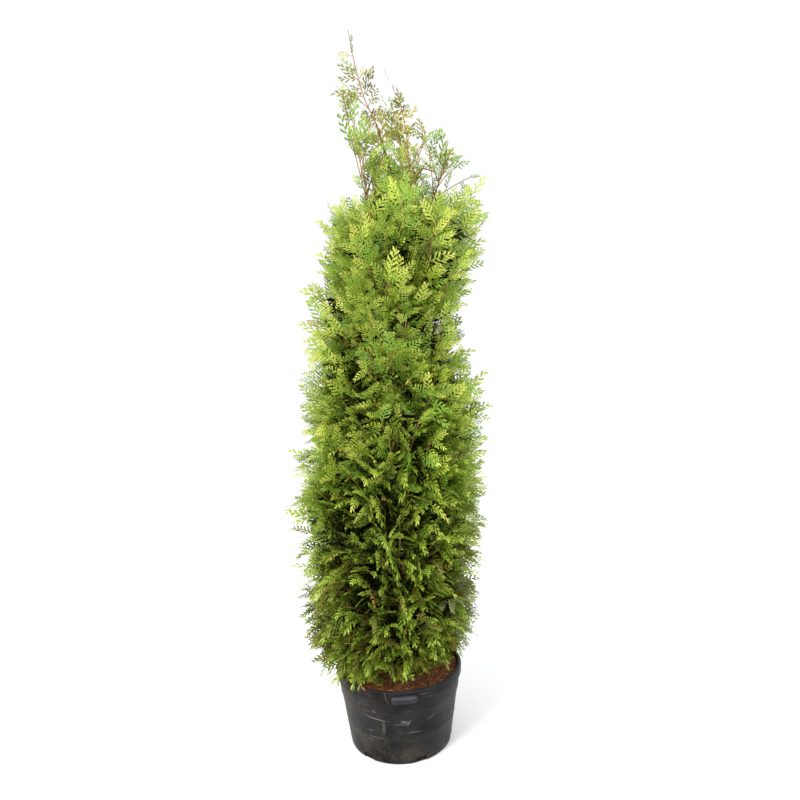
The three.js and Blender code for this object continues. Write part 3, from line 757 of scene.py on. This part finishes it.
growth = {
    "rows": 7, "columns": 6, "spraysPerBranch": 8,  # leafy branches in a dense mass
    "sprayLength": (0.072, 0.12),
    "innerSprays": {"skirt": 130, "lower": 150, "middle": 140, "shoulder": 120, "upper": 60, "shoot": 0},
    "innerReach": {"skirt": 0.66, "lower": 0.66, "middle": 0.66, "shoulder": 0.6, "upper": 0.5},
    "overReach": 0.012,
    "drawnIn": ((1.92, 2.0, 2.12, 2.18), (0, 0.01, 0.01, 0)),  # how far tips to the right stay in, by height
    "sides": ((0, -0.376), (0, 0.35), (1, -0.34), (1, 0.343)),  # the furthest tips along X and Y
    "tips": {"skirt": (0.72, 1), "lower": (0.7, 1), "middle": (0.7, 1), "shoulder": (0.66, 1),
             "upper": (0.5, 0.94)},  # how far out branches end on the way to the surface
    "lumps": (0.1, 5.5),  # how much and how closely the surface rises and falls
    # sprays clear the pot's rim but for a few that hang over it at the front left
    "overhang": {"clear": 0.318, "azimuth": -2.6, "dip": 0.07, "narrow": 14},
    # gaps right through the crown: place and half size on a plane through the trunk, as the eye sees them
    "openings": [(0.178, 1.447, 0.015, 0.05), (0.228, 1.36, 0.018, 0.02), (0.235, 1.275, 0.014, 0.02)],
}
shootCone = [  # dense young growth round the shoots: seed shift, rows, columns, how far out and how high up
    (0, 3, 2, (0.14, 0.5), 0.3), (7, 5, 1, (0.06, 0.34), 0.72),
]
stemSize = {"dense": 0.0032, "open": 0.0021, "tip": 0.0011, "steps": 12, "sides": 6}  # radii first
twigBin = TubeBin()


def surfaceShare(point):
    # how far the point lies from the axis, and how far the crown's surface does in its direction
    axis = axisAt(point.z)
    x, y = point.x - axis.x, point.y - axis.y
    drawnIn = float(np.interp(point.z, *growth["drawnIn"])) * max(0, math.cos(math.atan2(y, x)))
    return math.hypot(x, y), reach(point.z, math.atan2(y, x)) + growth["overReach"] - drawnIn


def keepInReach(root, heading, length, part=1.0):
    # shortens a spray that would pass the crown's surface, or a part of the way to it
    highest = plantHeight + 0.004
    for _ in range(3):
        tip = root + heading * length
        if tip.z > highest:
            length *= max(0.1, (highest - root.z) / max(1e-4, tip.z - root.z))
            tip = root + heading * length
        for axis, side in growth["sides"]:
            if tip[axis] / side > 1:
                length *= max(0.0, (side - root[axis]) / (tip[axis] - root[axis]))
                tip = root + heading * length
        radius, limit = surfaceShare(tip)
        limit *= part
        inner = surfaceShare(root)[0]
        if radius > limit and radius > inner:
            length *= max(0.0, (limit - inner) / (radius - inner))
    return length


def inOpening(point):
    _, eyeY, eyeZ = camera["place"]
    nearer = -eyeY / (point.y - eyeY)
    x, z = point.x * nearer, eyeZ + (point.z - eyeZ) * nearer
    return any(((x - gapX) / wide) ** 2 + ((z - gapZ) / high) ** 2 < 1
               for gapX, gapZ, wide, high in growth["openings"])


def lowestTip(point):
    overhang = growth["overhang"]
    toward = math.cos(math.atan2(point.y, point.x) - overhang["azimuth"])
    return overhang["clear"] - overhang["dip"] * max(0, toward) ** overhang["narrow"]


greens = {
    "inside": 0.3, "outside": 2.2, "varied": 1.3,  # tones, as places in leafLooks; the step from inside the crown to its surface is painted shade
    "fresher": ((0.3, 0.6, 1.0, 1.4, 1.8), (-1.4, -0.5, 0.85, 1.5, 1.2)),  # how the green turns with height
    "withered": {"place": (0.26, -0.12, 0.52), "radius": 0.12, "share": 0.4},  # a dull grey patch low down
    "dry": 0.006,  # the share of brown sprays
    # each of these starts at a height, is full after a rise, and then has the last value
    "duller": (1.85, 0.3, 0.7), "greener": (0.5, 0.6, 0.3),
    "greenFrom": 1.2, "strawFrom": 2.4,
    "tanAloft": (1.93, 0.3, 0.6),  # from which height, over what rise and up to what share
    "tanBelow": (0.8, 0.4, 0.9),  # below which height, to what depth and at what rate
}


def rampAt(height, start, rise, full):
    return full * min(1, max(0, (height - start) / rise))


def toneAt(point, outward, draws):
    # darker inside the crown and lighter towards its surface, as painted shade; also darker low down and
    # lighter towards the top
    withered = greens["withered"]
    if (point - Vector(withered["place"])).length < withered["radius"] and draws.next() < withered["share"]:
        return leafTone["leafGrey"]
    if draws.next() < greens["dry"]:
        return leafTone["leafDry"]
    value = mix(greens["inside"], greens["outside"], outward)
    value = value + float(np.interp(point.z, *greens["fresher"]))
    value = value + draws.between(-greens["varied"], greens["varied"])
    value -= rampAt(point.z, *greens["duller"])
    start, rise, most = greens["tanAloft"]
    aloft = min(most, (point.z - start) / rise)
    end, deepest, rate = greens["tanBelow"]
    below = rate * min(deepest, end - point.z)
    if draws.next() < max(aloft, below):
        return leafTone["leafOlive"] if value < greens["strawFrom"] else leafTone["leafStraw"]
    if value > greens["greenFrom"] and draws.next() < rampAt(point.z, *greens["greener"]):
        return leafTone["leafGreen"]
    return int(min(leafTone["leafFresh"], max(leafTone["leafShade"], round(value))))


branch = {
    "arch": 0.1, "tip": 0.0011, "steps": 4, "sides": 4,  # how far it arches, for its length, and its thin end
    "end": 0.82, "sprayFrom": 0.26, "sprayTo": 0.84,  # shares of a branch
    "angles": (58, 32), "unevenAngle": 9,  # between a branch and its sprays, at its foot and at its end
    "outerSize": 0.75, "sizes": (0.8, 1.15), "shortest": 0.035, "twist": 0.6,
    "lastFrom": 0.06, "lastSizes": (0.85, 1.1), "lastShortest": 0.03,  # the spray at the end
    "tones": 0.6, "toneShare": 0.5,
}


def leafyBranch(sprays, foot, target, across, draws, thickness, perBranch, outwardFrom, kind, droops, size):
    # a twig from foot to target with flat sprays to both sides in turn and one at its end
    span = target - foot
    pull = foot.lerp(target, 0.5) + Vector((0, 0, branch["arch"] * span.length))
    curve = (foot, pull, target)
    end, steps = branch["end"], branch["steps"]
    twigTone = 1 if draws.next() > 0.5 else 0
    twigBin.add([bezier(curve, end * i / steps) for i in range(steps + 1)],
                [mix(thickness, branch["tip"], i / steps) for i in range(steps + 1)], branch["sides"],
                twigTone)
    branchTone = draws.between(-branch["tones"], branch["tones"])
    for index in range(perBranch):
        share = mix(branch["sprayFrom"], branch["sprayTo"], index / max(1, perBranch - 1))
        side = 1 if index % 2 else -1
        heading = bezierHeading(curve, share)
        flat = (across - heading * across.dot(heading)).normalized()
        uneven = draws.between(-branch["unevenAngle"], branch["unevenAngle"])
        angle = math.radians(mix(*branch["angles"], share) + uneven)
        toward = (heading * math.cos(angle) + flat * (side * math.sin(angle))).normalized()
        root = bezier(curve, share)
        wanted = size * mix(1.0, branch["outerSize"], share) * draws.between(*branch["sizes"])
        length = keepInReach(root, toward, wanted)
        plane = heading.cross(flat).cross(toward) * side
        plane.rotate(Matrix.Rotation(draws.between(-branch["twist"], branch["twist"]), 3, toward))
        tone = toneAt(root, mix(outwardFrom, 1, share) + branchTone * branch["toneShare"], draws)
        droop = draws.between(*droops)
        if length > branch["shortest"]:
            sprays.add(kind, root, toward, plane, length, droop, tone)
    heading = bezierHeading(curve, end)
    root = bezier(curve, end - branch["lastFrom"])
    length = keepInReach(root, heading, size * draws.between(*branch["lastSizes"]))
    droop = draws.between(*droops)
    if length > branch["lastShortest"]:
        tone = toneAt(target, 1 + branchTone * branch["toneShare"], draws)
        sprays.add(kind, root, heading, across, length, droop, tone)


def stemPoint(stem, share):
    return splinePoint(leaderPath, share) if stem is None else bezier(stem, share)


def stemHeading(stem, share):
    if stem is None:
        above, below = splinePoint(leaderPath, min(1, share + 0.02)), splinePoint(leaderPath, share - 0.02)
        return (above - below).normalized()
    return bezierHeading(stem, share)


def flatDirection(heading, roll):
    level = Vector((0, 0, 1)).cross(heading)
    level = level.normalized() if level.length > 1e-4 else Vector((1, 0, 0))
    level.rotate(Matrix.Rotation(roll, 3, heading))
    return level


dense = {
    "footOut": (0.36, 0.6), "footBelow": (0.12, 0.42), "stemBelow": 0.3,  # shares of the way out or up
    "footTowards": 0.75,  # how far a branch starts from its stem towards that place
    "low": {"droop": 0.15, "droopMost": 0.85, "steep": 0.85},  # at the ground
    "high": {"droop": -0.1, "droopMost": 0.25, "steep": 1.5}, "full": 1.7,  # and at this height
    "stagger": 0.22, "unevenTurn": 0.6, "unevenLift": 0.9,  # shares of a column or a row
    "swing": 0.3, "swingShare": 0.85, "roll": 1.4, "fewShort": 1.4, "twig": 0.0024, "outwardFrom": 0.3,
}
deep = {  # coarse sprays, near black as painted shade, that close the view to the trunk
    "lift": (-0.1, 0.95), "from": 0.2, "part": 0.76, "darkest": 0.55,  # shares of the way out or up
    "outward": 0.8, "sideways": (-0.7, 0.7), "up": (-0.4, 1.2), "roll": (-1.5, 1.5), "droop": (0, 0.3),
    "long": (0.1, 0.16), "shortest": 0.05,
}


def growDense(space, stem, seed, sprays, rows, columns, tips, top=1.0):
    # rows and columns of leafy branches that end near the surface, then sprays inside, dark as painted shade,
    # that close the view
    draws = Draws(seed + 5)
    name = space.tier["name"]
    depth, closeness = growth["lumps"]
    raised = space.tier["floor"] / dense["full"]
    low, high = dense["low"], dense["high"]
    droop, droopMost, steep = (mix(low[key], high[key], raised) for key in ("droop", "droopMost", "steep"))
    for row in range(rows):
        for column in range(columns):
            shift = dense["stagger"] if row % 2 else -dense["stagger"]
            turn = ((column + 0.5 + shift + dense["unevenTurn"] * (draws.next() - 0.5)) / columns) * 2 - 1
            lift = top * (row + 0.5 + dense["unevenLift"] * (draws.next() - 0.5)) / rows
            out = mix(*tips, draws.next() ** dense["fewShort"])
            rise = draws.between(*dense["footBelow"])
            target = space.pointAt(turn, out, lift)
            out = min(1, out + depth * noise.noise(target * closeness))
            target = space.pointAt(turn, out, lift)
            foot = stemPoint(stem, min(0.96, max(0.04, lift - dense["stemBelow"])))
            swing = turn * dense["swingShare"] + draws.between(-dense["swing"], dense["swing"])
            below = space.pointAt(swing, draws.between(*dense["footOut"]), lift - rise * steep)
            foot = foot.lerp(below, dense["footTowards"])
            flat = flatDirection((target - foot).normalized(), draws.between(-dense["roll"], dense["roll"]))
            size = draws.between(*growth["sprayLength"])
            leafyBranch(sprays, foot, target, flat, draws, dense["twig"], growth["spraysPerBranch"],
                        dense["outwardFrom"], "full", (droop, droopMost), size)
    for _ in range(growth["innerSprays"][name]):
        turn, lift = draws.between(-1, 1), draws.between(*deep["lift"])
        share = draws.between(deep["from"], growth["innerReach"][name])
        root = space.pointAt(turn, share, lift)
        axis = axisAt(root.z)
        heading = Vector((root.x - axis.x, root.y - axis.y, 0)).normalized() * deep["outward"]
        heading += Vector([draws.between(*deep[key]) for key in ("sideways", "sideways", "up")])
        heading.normalize()
        length = keepInReach(root, heading, draws.between(*deep["long"]), deep["part"])
        flat = flatDirection(heading, draws.between(*deep["roll"]))
        if length > deep["shortest"] and root.z > lowestTip(root):
            # the innermost get the darkest tone: painted shade
            darker = -2 if share < deep["darkest"] else -1
            sprays.add("coarse", root, heading, flat, length, draws.between(*deep["droop"]), darker)


bare = {
    "leafy": 0.88, "longestSpray": 0.105,  # the share of the twig that its end spray takes, and its limit
    "radii": [0.0016, 0.0013, 0.001], "into": 1.3,  # from the foot, and how far it runs on into the spray
    "boldFrom": 0.06, "pairFrom": 0.1,  # the shortest twigs with a bold spray and with two beside it
    "droop": (-0.1, 0.2), "besideDroop": 0.05,
    "beside": (0.6, 0.95), "besideLong": (0.5, 0.8), "shortest": 0.03, "secondAt": 0.6,
}


def bareTwig(sprays, foot, direction, length, flat, draws, tone):
    # a thin twig with a spray that takes up its outer part, and smaller ones beside it
    outer = min(length * bare["leafy"], bare["longestSpray"])
    start = foot + direction * (length - outer)
    twigBin.add([foot.lerp(start, bare["into"] * i / 2) for i in range(3)], bare["radii"], 4, 1)
    kind = "bold" if length > bare["boldFrom"] else "tip"
    sprays.add(kind, start, direction, flat, outer, draws.between(*bare["droop"]), tone)
    first = 1 if draws.next() < 0.5 else -1
    count = 2 if length > bare["pairFrom"] else 1
    for side, share in ((flat * first, 1.0), (flat * -first, bare["secondAt"]))[:count]:
        root = foot.lerp(start, share)
        beside = (direction + side * draws.between(*bare["beside"])).normalized()
        reached = keepInReach(root, beside, outer * draws.between(*bare["besideLong"]))
        if reached > bare["shortest"]:
            across = beside.cross(direction.cross(side))
            sprays.add("tip", root, beside, across, reached, bare["besideDroop"], tone)


def growLoose(space, stem, seed, sprays):
    draws = Draws(seed)
    # twigs in a spiral along the leader, where stem is None, or along a shoot
    if stem is None:
        count, leafy, longer = loose["leaderTwigs"], 0.0, loose["leaderLength"]
    else:
        count, leafy, longer = loose["shootTwigs"], loose["leafyBelow"], loose["shootLength"]
    for index in range(count):
        share = mix(0.02, 0.95, index / (count - 1))
        foot = stemPoint(stem, share)
        heading = stemHeading(stem, share)
        wide = loose["lean"] * mix(loose["widest"], loose["closest"], share)
        lean = math.radians(wide + 14 * (draws.next() - 0.5))
        spin = math.radians(loose["turn"]) * index + space.azimuth
        sideways = Vector((0, 1, 0)).cross(heading).normalized()
        sideways.rotate(Matrix.Rotation(spin, 3, heading))
        direction = heading * math.cos(lean) + sideways * math.sin(lean)
        length = mix(loose["longest"], loose["shortest"], share) * mix(0.9, 1.2, draws.next())
        flat = flatDirection(direction, mix(-0.9, 0.9, draws.next()))
        length = keepInReach(foot, direction, length * longer)
        if stem is None and share > 0.5:
            length = min(length, loose["leaderTop"])
        if share < leafy and length > 0.06:
            leafyBranch(sprays, foot, foot + direction * length, flat, draws, 0.0018, 3, 0.2, "open",
                        (-0.05, 0.25), draws.between(0.07, 0.1))
        elif length > 0.02:
            bareTwig(sprays, foot, direction, length, flat, draws, toneAt(foot, 0.7, draws))
    foot, heading = stemPoint(stem, 0.95), stemHeading(stem, 0.98)
    length = keepInReach(foot, heading, 0.02 if stem is None else 0.03)
    sprays.add("tip", foot, heading, flatDirection(heading, 0.3), length, 0.05, leafTone["leafOlive"])


strayShoots = [  # height, azimuth, upward angle and length of shoots that stand out of the crown
    (1.76, 176, 52, 0.16), (1.7, 186, 42, 0.15), (1.62, 170, 40, 0.13), (1.4, 181, 30, 0.14),
    (1.36, 172, 20, 0.12), (1.8, -4, 50, 0.18), (1.76, 8, 40, 0.15), (1.6, -8, 38, 0.14),
    (1.2, 4, 35, 0.13), (0.9, -3, 30, 0.13), (0.98, 180, 24, 0.12), (0.79, 182, 20, 0.12),
    (1.52, 178, 26, 0.15), (1.74, -3, 30, 0.16), (1.68, 5, 22, 0.14), (1.3, -6, 30, 0.13),
    (0.72, -2, 20, 0.12), (0.6, 178, 16, 0.12),
]
leaderSprays = [  # the same for sprays that stand out from the leader and the trunk's tip
    (2.33, 178, 20, 0.05), (2.25, 182, 40, 0.085), (2.26, 0, 35, 0.055), (2.2, 176, 15, 0.11),
    (2.17, 10, 60, 0.07), (2.08, 5, 58, 0.15), (2.06, -8, 38, 0.15), (2.05, 8, 24, 0.12),
    (2.1, 175, 35, 0.07), (2.04, 184, 28, 0.1), (2.0, -5, 20, 0.13), (1.98, 180, 25, 0.1),
    (2.02, -95, 45, 0.12), (2.12, 90, 50, 0.1), (2.22, 100, 45, 0.07),
]


def growLeaderSprays(sprays):
    draws = Draws(41)
    for height, azimuth, upward, length in leaderSprays:
        angle, lift = math.radians(azimuth), math.radians(upward)
        direction = Vector((math.cos(angle) * math.cos(lift), math.sin(angle) * math.cos(lift),
                            math.sin(lift)))
        foot = axisAt(height)
        flat = direction.cross(Vector((0.3 * draws.between(-1, 1), -1, 0.4))).normalized()
        length = keepInReach(foot, direction, length * 1.1)
        tone = leafTone["leafOlive" if draws.next() < 0.55 else "leafStraw"]
        bareTwig(sprays, foot, direction, length, flat, draws, tone)


def growStrays(space, sprays):
    draws = Draws(9)
    for height, azimuth, upward, length in strayShoots:
        angle = math.radians(azimuth)
        if abs((angle - space.azimuth + math.pi) % (2 * math.pi) - math.pi) > space.half:
            continue
        out = Vector((math.cos(angle), math.sin(angle), 0))
        direction = out * math.cos(math.radians(upward)) + Vector((0, 0, math.sin(math.radians(upward))))
        foot = axisAt(height) + out * max(0, reach(height, angle) - length * 0.8)
        length = keepInReach(foot, direction, length, 1.1)
        bareTwig(sprays, foot, direction, length, flatDirection(direction, 1.2), draws, leafTone["leafMid"])


for tier in tiers[:-1]:
    sprays = SprayBin(Draws(31))
    labels = []
    for space, stem, seed, label in masses:
        if space.tier is not tier:
            continue
        labels.append(f"foliage_{label}")
        shares = [i / stemSize["steps"] for i in range(stemSize["steps"] + 1)]
        thick = stemSize["dense" if tier["core"] > 0 else "open"]
        twigBin.add([stemPoint(stem, share) for share in shares],
                    [mix(thick, stemSize["tip"], share) for share in shares], stemSize["sides"])
        if tier["core"] > 0:
            growDense(space, stem, seed, sprays, growth["rows"], growth["columns"],
                      growth["tips"][tier["name"]])
        else:
            growLoose(space, stem, seed, sprays)
        if tier["name"] == "shoot":
            for shift, *cone in shootCone:
                growDense(space, stem, seed + shift, sprays, *cone)
            growStrays(space, sprays)
    if tier["name"] == "leader":
        growLeaderSprays(sprays)
    piece = sprays.make(f"sprays_{tier['name']}", leafSkins)
    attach(piece, "root")
    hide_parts(*labels)
    print("sprays of", tier["name"], len(piece.data.polygons))
twigPiece = twigBin.make("twigs", [twigSkin, twigGreen])
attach(twigPiece, "root")
print("twigs", len(twigPiece.data.polygons))


pot = {
    "segments": 120, "height": 0.27, "floor": 0.005,
    "rim": 0.22, "neck": 0.213, "step": 0.208, "waist": 0.205, "base": 0.175,  # radii from the top down
    "outOfRound": 0.0012, "highlightAbove": 0.2675,
    "notches": 6, "notchFirst": -130, "notchDepth": 0.003, "notchTop": 0.021, "notchSteps": 1.9,
}


def wallAt(height):
    return float(np.interp(height, [0, 0.19, 0.27], [pot["base"], pot["waist"], pot["neck"]]))


def makePot():
    rim, neck, step, waist, base = (pot[key] for key in ("rim", "neck", "step", "waist", "base"))
    outline = [
        (0.0, 0.0), (base - 0.012, 0.0), (base - 0.007, 0.0004), (base - 0.0028, 0.0022),
        (wallAt(0.007) - 0.0004, 0.005), (wallAt(0.012), 0.012), (wallAt(0.02), 0.02),
        (wallAt(0.022) + 0.0006, 0.022), (wallAt(0.025), 0.025), (wallAt(0.06), 0.06),
        (wallAt(0.098), 0.098), (wallAt(0.1) + 0.0004, 0.1), (wallAt(0.102) + 0.0008, 0.102),
        (wallAt(0.104) + 0.0004, 0.104), (wallAt(0.107), 0.107), (wallAt(0.15), 0.15),
        (waist, 0.187), (waist + 0.0008, 0.189), (step - 0.0006, 0.1905), (step, 0.193),
        (neck - 0.001, 0.232), (neck, 0.2365), (rim - 0.0028, 0.2385), (rim - 0.0009, 0.2402),
        (rim - 0.0009, 0.244), (rim - 0.0012, 0.2566), (rim - 0.0003, 0.2576), (rim, 0.262),
        (rim - 0.0006, 0.2664), (rim - 0.0026, 0.2693), (rim - 0.0052, pot["height"]),
        (0.2115, pot["height"]), (0.2094, 0.2689), (0.2083, 0.266), (0.2078, 0.258),  # from here down inside
        (0.201, 0.19), (0.1725, 0.008), (0.168, pot["floor"]), (0.0, pot["floor"]),
    ]
    bm = bmesh.new()
    chain = [bm.verts.new((radius, 0, height)) for radius, height in outline]
    edges = [bm.edges.new(pair) for pair in zip(chain, chain[1:])]
    bmesh.ops.spin(bm, geom=chain + edges, cent=(0, 0, 0), axis=(0, 0, 1), angle=2 * math.pi,
                   steps=pot["segments"], use_merge=True)
    bmesh.ops.remove_doubles(bm, verts=bm.verts, dist=1e-5)
    bmesh.ops.recalc_face_normals(bm, faces=bm.faces)
    halfNotch = pot["notchSteps"] * 2 * math.pi / pot["segments"]
    for index in range(pot["notches"]):
        angle = math.radians(pot["notchFirst"] + index * 360 / pot["notches"])
        picked = []
        for face in bm.faces:
            middle = face.calc_center_median()
            radius = math.hypot(middle.x, middle.y)
            off = (math.atan2(middle.y, middle.x) - angle + math.pi) % (2 * math.pi) - math.pi
            outward = face.normal.x * middle.x + face.normal.y * middle.y
            onWall = 0.0006 < middle.z < pot["notchTop"] and radius > 0.165 and outward > 0
            if abs(off) < halfNotch and onWall:
                picked.append(face)
        grown = bmesh.ops.extrude_face_region(bm, geom=picked)
        moved = [part for part in grown["geom"] if isinstance(part, bmesh.types.BMVert)]
        # the notch's faces take the near-black material: painted shade
        for part in grown["geom"]:
            if isinstance(part, bmesh.types.BMFace):
                part.material_index = 1
        inward = Vector((-math.cos(angle), -math.sin(angle), 0)) * pot["notchDepth"]
        bmesh.ops.translate(bm, verts=moved, vec=inward)
        bmesh.ops.delete(bm, geom=picked, context="FACES_ONLY")
    for vert in bm.verts:
        angle = math.atan2(vert.co.y, vert.co.x)
        radius = math.hypot(vert.co.x, vert.co.y)
        if radius < 0.1:
            continue
        wave = math.sin(2 * angle + 0.7) + 0.5 * math.sin(3 * angle + 2.0) + 0.3 * math.sin(5 * angle)
        grow = pot["outOfRound"] * (wave - 1.7) * vert.co.z / pot["height"]
        vert.co.x *= 1 + grow / radius
        vert.co.y *= 1 + grow / radius
    # faces on the rim's top lip take the lighter plastic: a painted highlight
    for face in bm.faces:
        if face.calc_center_median().z > pot["highlightAbove"]:
            face.material_index = 2
    piece = meshFromBmesh("pot_shell", bm, [potPlastic, notchShade, litPlastic])
    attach(piece, "root")
    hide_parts("pot")


grip = {
    "middles": (-86.5, 93.5), "halfAngle": 11.5, "steps": 40,
    "endShare": 0.3, "endRadius": 0.3, "endHeight": 0.2,  # the rounded part of each end, and what stays there
    "middleHeight": 0.2465,
    "lug": [(0.2165, 0.2365), (0.2235, 0.2355), (0.2275, 0.2363), (0.2298, 0.2388), (0.23, 0.242),
            (0.2292, 0.2466), (0.2276, 0.2504), (0.225, 0.254), (0.2216, 0.2562), (0.2165, 0.2568)],
}


def makeGrips():
    # a rounded lug under the rim at the front and the back, full below and sloping back above
    lug = grip["lug"]
    bm = bmesh.new()
    for middle in grip["middles"]:
        first = math.radians(middle - grip["halfAngle"])
        ring = [bm.verts.new((radius * math.cos(first), radius * math.sin(first), z)) for radius, z in lug]
        edges = [bm.edges.new(pair) for pair in zip(ring, ring[1:] + ring[:1])]
        bmesh.ops.spin(bm, geom=ring + edges, cent=(0, 0, 0), axis=(0, 0, 1),
                       angle=math.radians(2 * grip["halfAngle"]), steps=grip["steps"])
    bmesh.ops.holes_fill(bm, edges=[edge for edge in bm.edges if edge.is_boundary], sides=0)
    for vert in bm.verts:
        # both ends are rounded off towards the middle of the lug
        turn = math.degrees(math.atan2(vert.co.y, vert.co.x))
        off = min(abs(turn - middle) for middle in grip["middles"]) / grip["halfAngle"]
        into = max(0, (off - 1 + grip["endShare"]) / grip["endShare"])
        full = math.sqrt(max(0, 1 - into * into))
        radius = math.hypot(vert.co.x, vert.co.y)
        shrunk = mix(lug[0][0], radius, mix(grip["endRadius"], 1, full)) / radius
        vert.co.x *= shrunk
        vert.co.y *= shrunk
        vert.co.z = mix(grip["middleHeight"], vert.co.z, mix(grip["endHeight"], 1, full))
    bmesh.ops.recalc_face_normals(bm, faces=bm.faces)
    for face in bm.faces:
        # upward faces take the lightest plastic as a painted highlight, the rest the lighter plastic as
        # painted light
        face.material_index = 1 if face.normal.z > 0.45 else 0
    piece = meshFromBmesh("pot_grips", bm, [litPlastic, highlightPlastic])
    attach(piece, "root")


makePot()
makeGrips()
print("pot made")


soil = {
    "rings": 44, "segments": 160, "edge": 0.2062, "rough": 0.0035, "crumbs": 0.0012,
    "bottom": 0.0056, "bottomShare": 0.78,
}


def soilHeight(x, y):
    radius = math.hypot(x, y)
    mound = float(np.interp(radius, [0, 0.05, 0.16, 0.206], [0.264, 0.264, 0.2622, 0.255]))
    spot = Vector((x * 38, y * 38, 0.3))
    fine = Vector((x * 170, y * 170, 1.7))
    return mound + soil["rough"] * noise.fractal(spot, 0.7, 2.0, 4) + soil["crumbs"] * noise.noise(fine)


def makeSoil():
    bm = bmesh.new()
    line = [bm.verts.new((soil["edge"] * i / soil["rings"], 0, 0.25)) for i in range(soil["rings"] + 1)]
    edges = [bm.edges.new(pair) for pair in zip(line, line[1:])]
    bmesh.ops.spin(bm, geom=line + edges, cent=(0, 0, 0), axis=(0, 0, 1), angle=2 * math.pi,
                   steps=soil["segments"], use_merge=True)
    bmesh.ops.remove_doubles(bm, verts=bm.verts, dist=1e-5)
    for vert in bm.verts:
        vert.co.z = soilHeight(vert.co.x, vert.co.y)
    rim = [edge for edge in bm.edges if edge.is_boundary]
    skirt = bmesh.ops.extrude_edge_only(bm, edges=rim)
    for part in skirt["geom"]:
        if isinstance(part, bmesh.types.BMVert):
            part.co = Vector((part.co.x * soil["bottomShare"], part.co.y * soil["bottomShare"],
                              soil["bottom"]))
    bmesh.ops.holes_fill(bm, edges=[edge for edge in bm.edges if edge.is_boundary], sides=0)
    piece = meshFromBmesh("root_ball_soil", bm, [soilCrumb], 60)
    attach(piece, "root")
    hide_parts("root_ball")


litter = {
    "bits": 3400, "radius": 0.203, "edge": 0.205,
    "long": (0.006, 0.03), "wide": (0.0009, 0.0042), "lift": (0.0002, 0.004),
    "rusty": 0.5, "pale": 0.32,  # shares of the two lighter kinds
}


def makeLitter():
    # shed sprays, bark fibres and crumbs that lie on the soil
    draws = Draws(909)
    points, faces, tones = [], [], []
    for _ in range(litter["bits"]):
        radius = litter["radius"] * math.sqrt(draws.next())
        angle = draws.between(0, 2 * math.pi)
        x, y = radius * math.cos(angle), radius * math.sin(angle)
        heading = draws.between(0, 2 * math.pi)
        length, width = draws.between(*litter["long"]), draws.between(*litter["wide"])
        lift = draws.between(*litter["lift"])
        tilt = draws.between(-0.2, 0.35)
        middle = np.array([x, y, soilHeight(x, y) + lift])
        along = np.array([math.cos(heading), math.sin(heading), tilt * 0.4]) * length / 2
        side = np.array([-math.sin(heading), math.cos(heading), draws.between(-0.4, 0.4)]) * width / 2
        up = np.array([0, 0, width * 0.5])
        ends = [middle - along, middle + along]
        if any(math.hypot(end[0], end[1]) > litter["edge"] for end in ends):
            continue
        base = len(points)
        points += [ends[0], middle - side, ends[1], middle + side, middle + up]
        faces += [(base, base + 1, base + 4), (base + 1, base + 2, base + 4), (base + 2, base + 3, base + 4),
                  (base + 3, base, base + 4)]
        kind = draws.next()
        tones += [0 if kind < litter["rusty"] else 1 if kind < litter["rusty"] + litter["pale"] else 2] * 4
    piece = meshFromArrays("litter", np.array(points), np.array(faces), [litterRust, litterPale, barkSkin],
                           np.array(tones))
    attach(piece, "root")


strays = {  # places and radii
    "stem": [(-0.055, -0.19, 0.262), (-0.052, -0.207, 0.2725), (-0.05, -0.2165, 0.2722),
             (-0.0475, -0.2205, 0.262), (-0.045, -0.2212, 0.249), (-0.038, -0.2212, 0.237)],
    "stemRadii": [0.001, 0.001, 0.001, 0.0009, 0.0008, 0.0006],
    "flake": [(-0.125, -0.172, 0.2705), (-0.118, -0.184, 0.2735), (-0.112, -0.194, 0.2725)],
    "flakeRadii": [0.003, 0.0042, 0.0022],
}


def makeStrays():
    # a dry stem and a flake of bark that lie over the front of the rim
    strayBin = TubeBin()
    strayBin.add(strays["stem"], strays["stemRadii"], 6, 0)
    strayBin.add(strays["flake"], strays["flakeRadii"], 7, 1)
    piece = strayBin.make("strays", [stemGrey, litterRust])
    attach(piece, "root")


makeSoil()
makeLitter()
makeStrays()
print("soil and litter made")
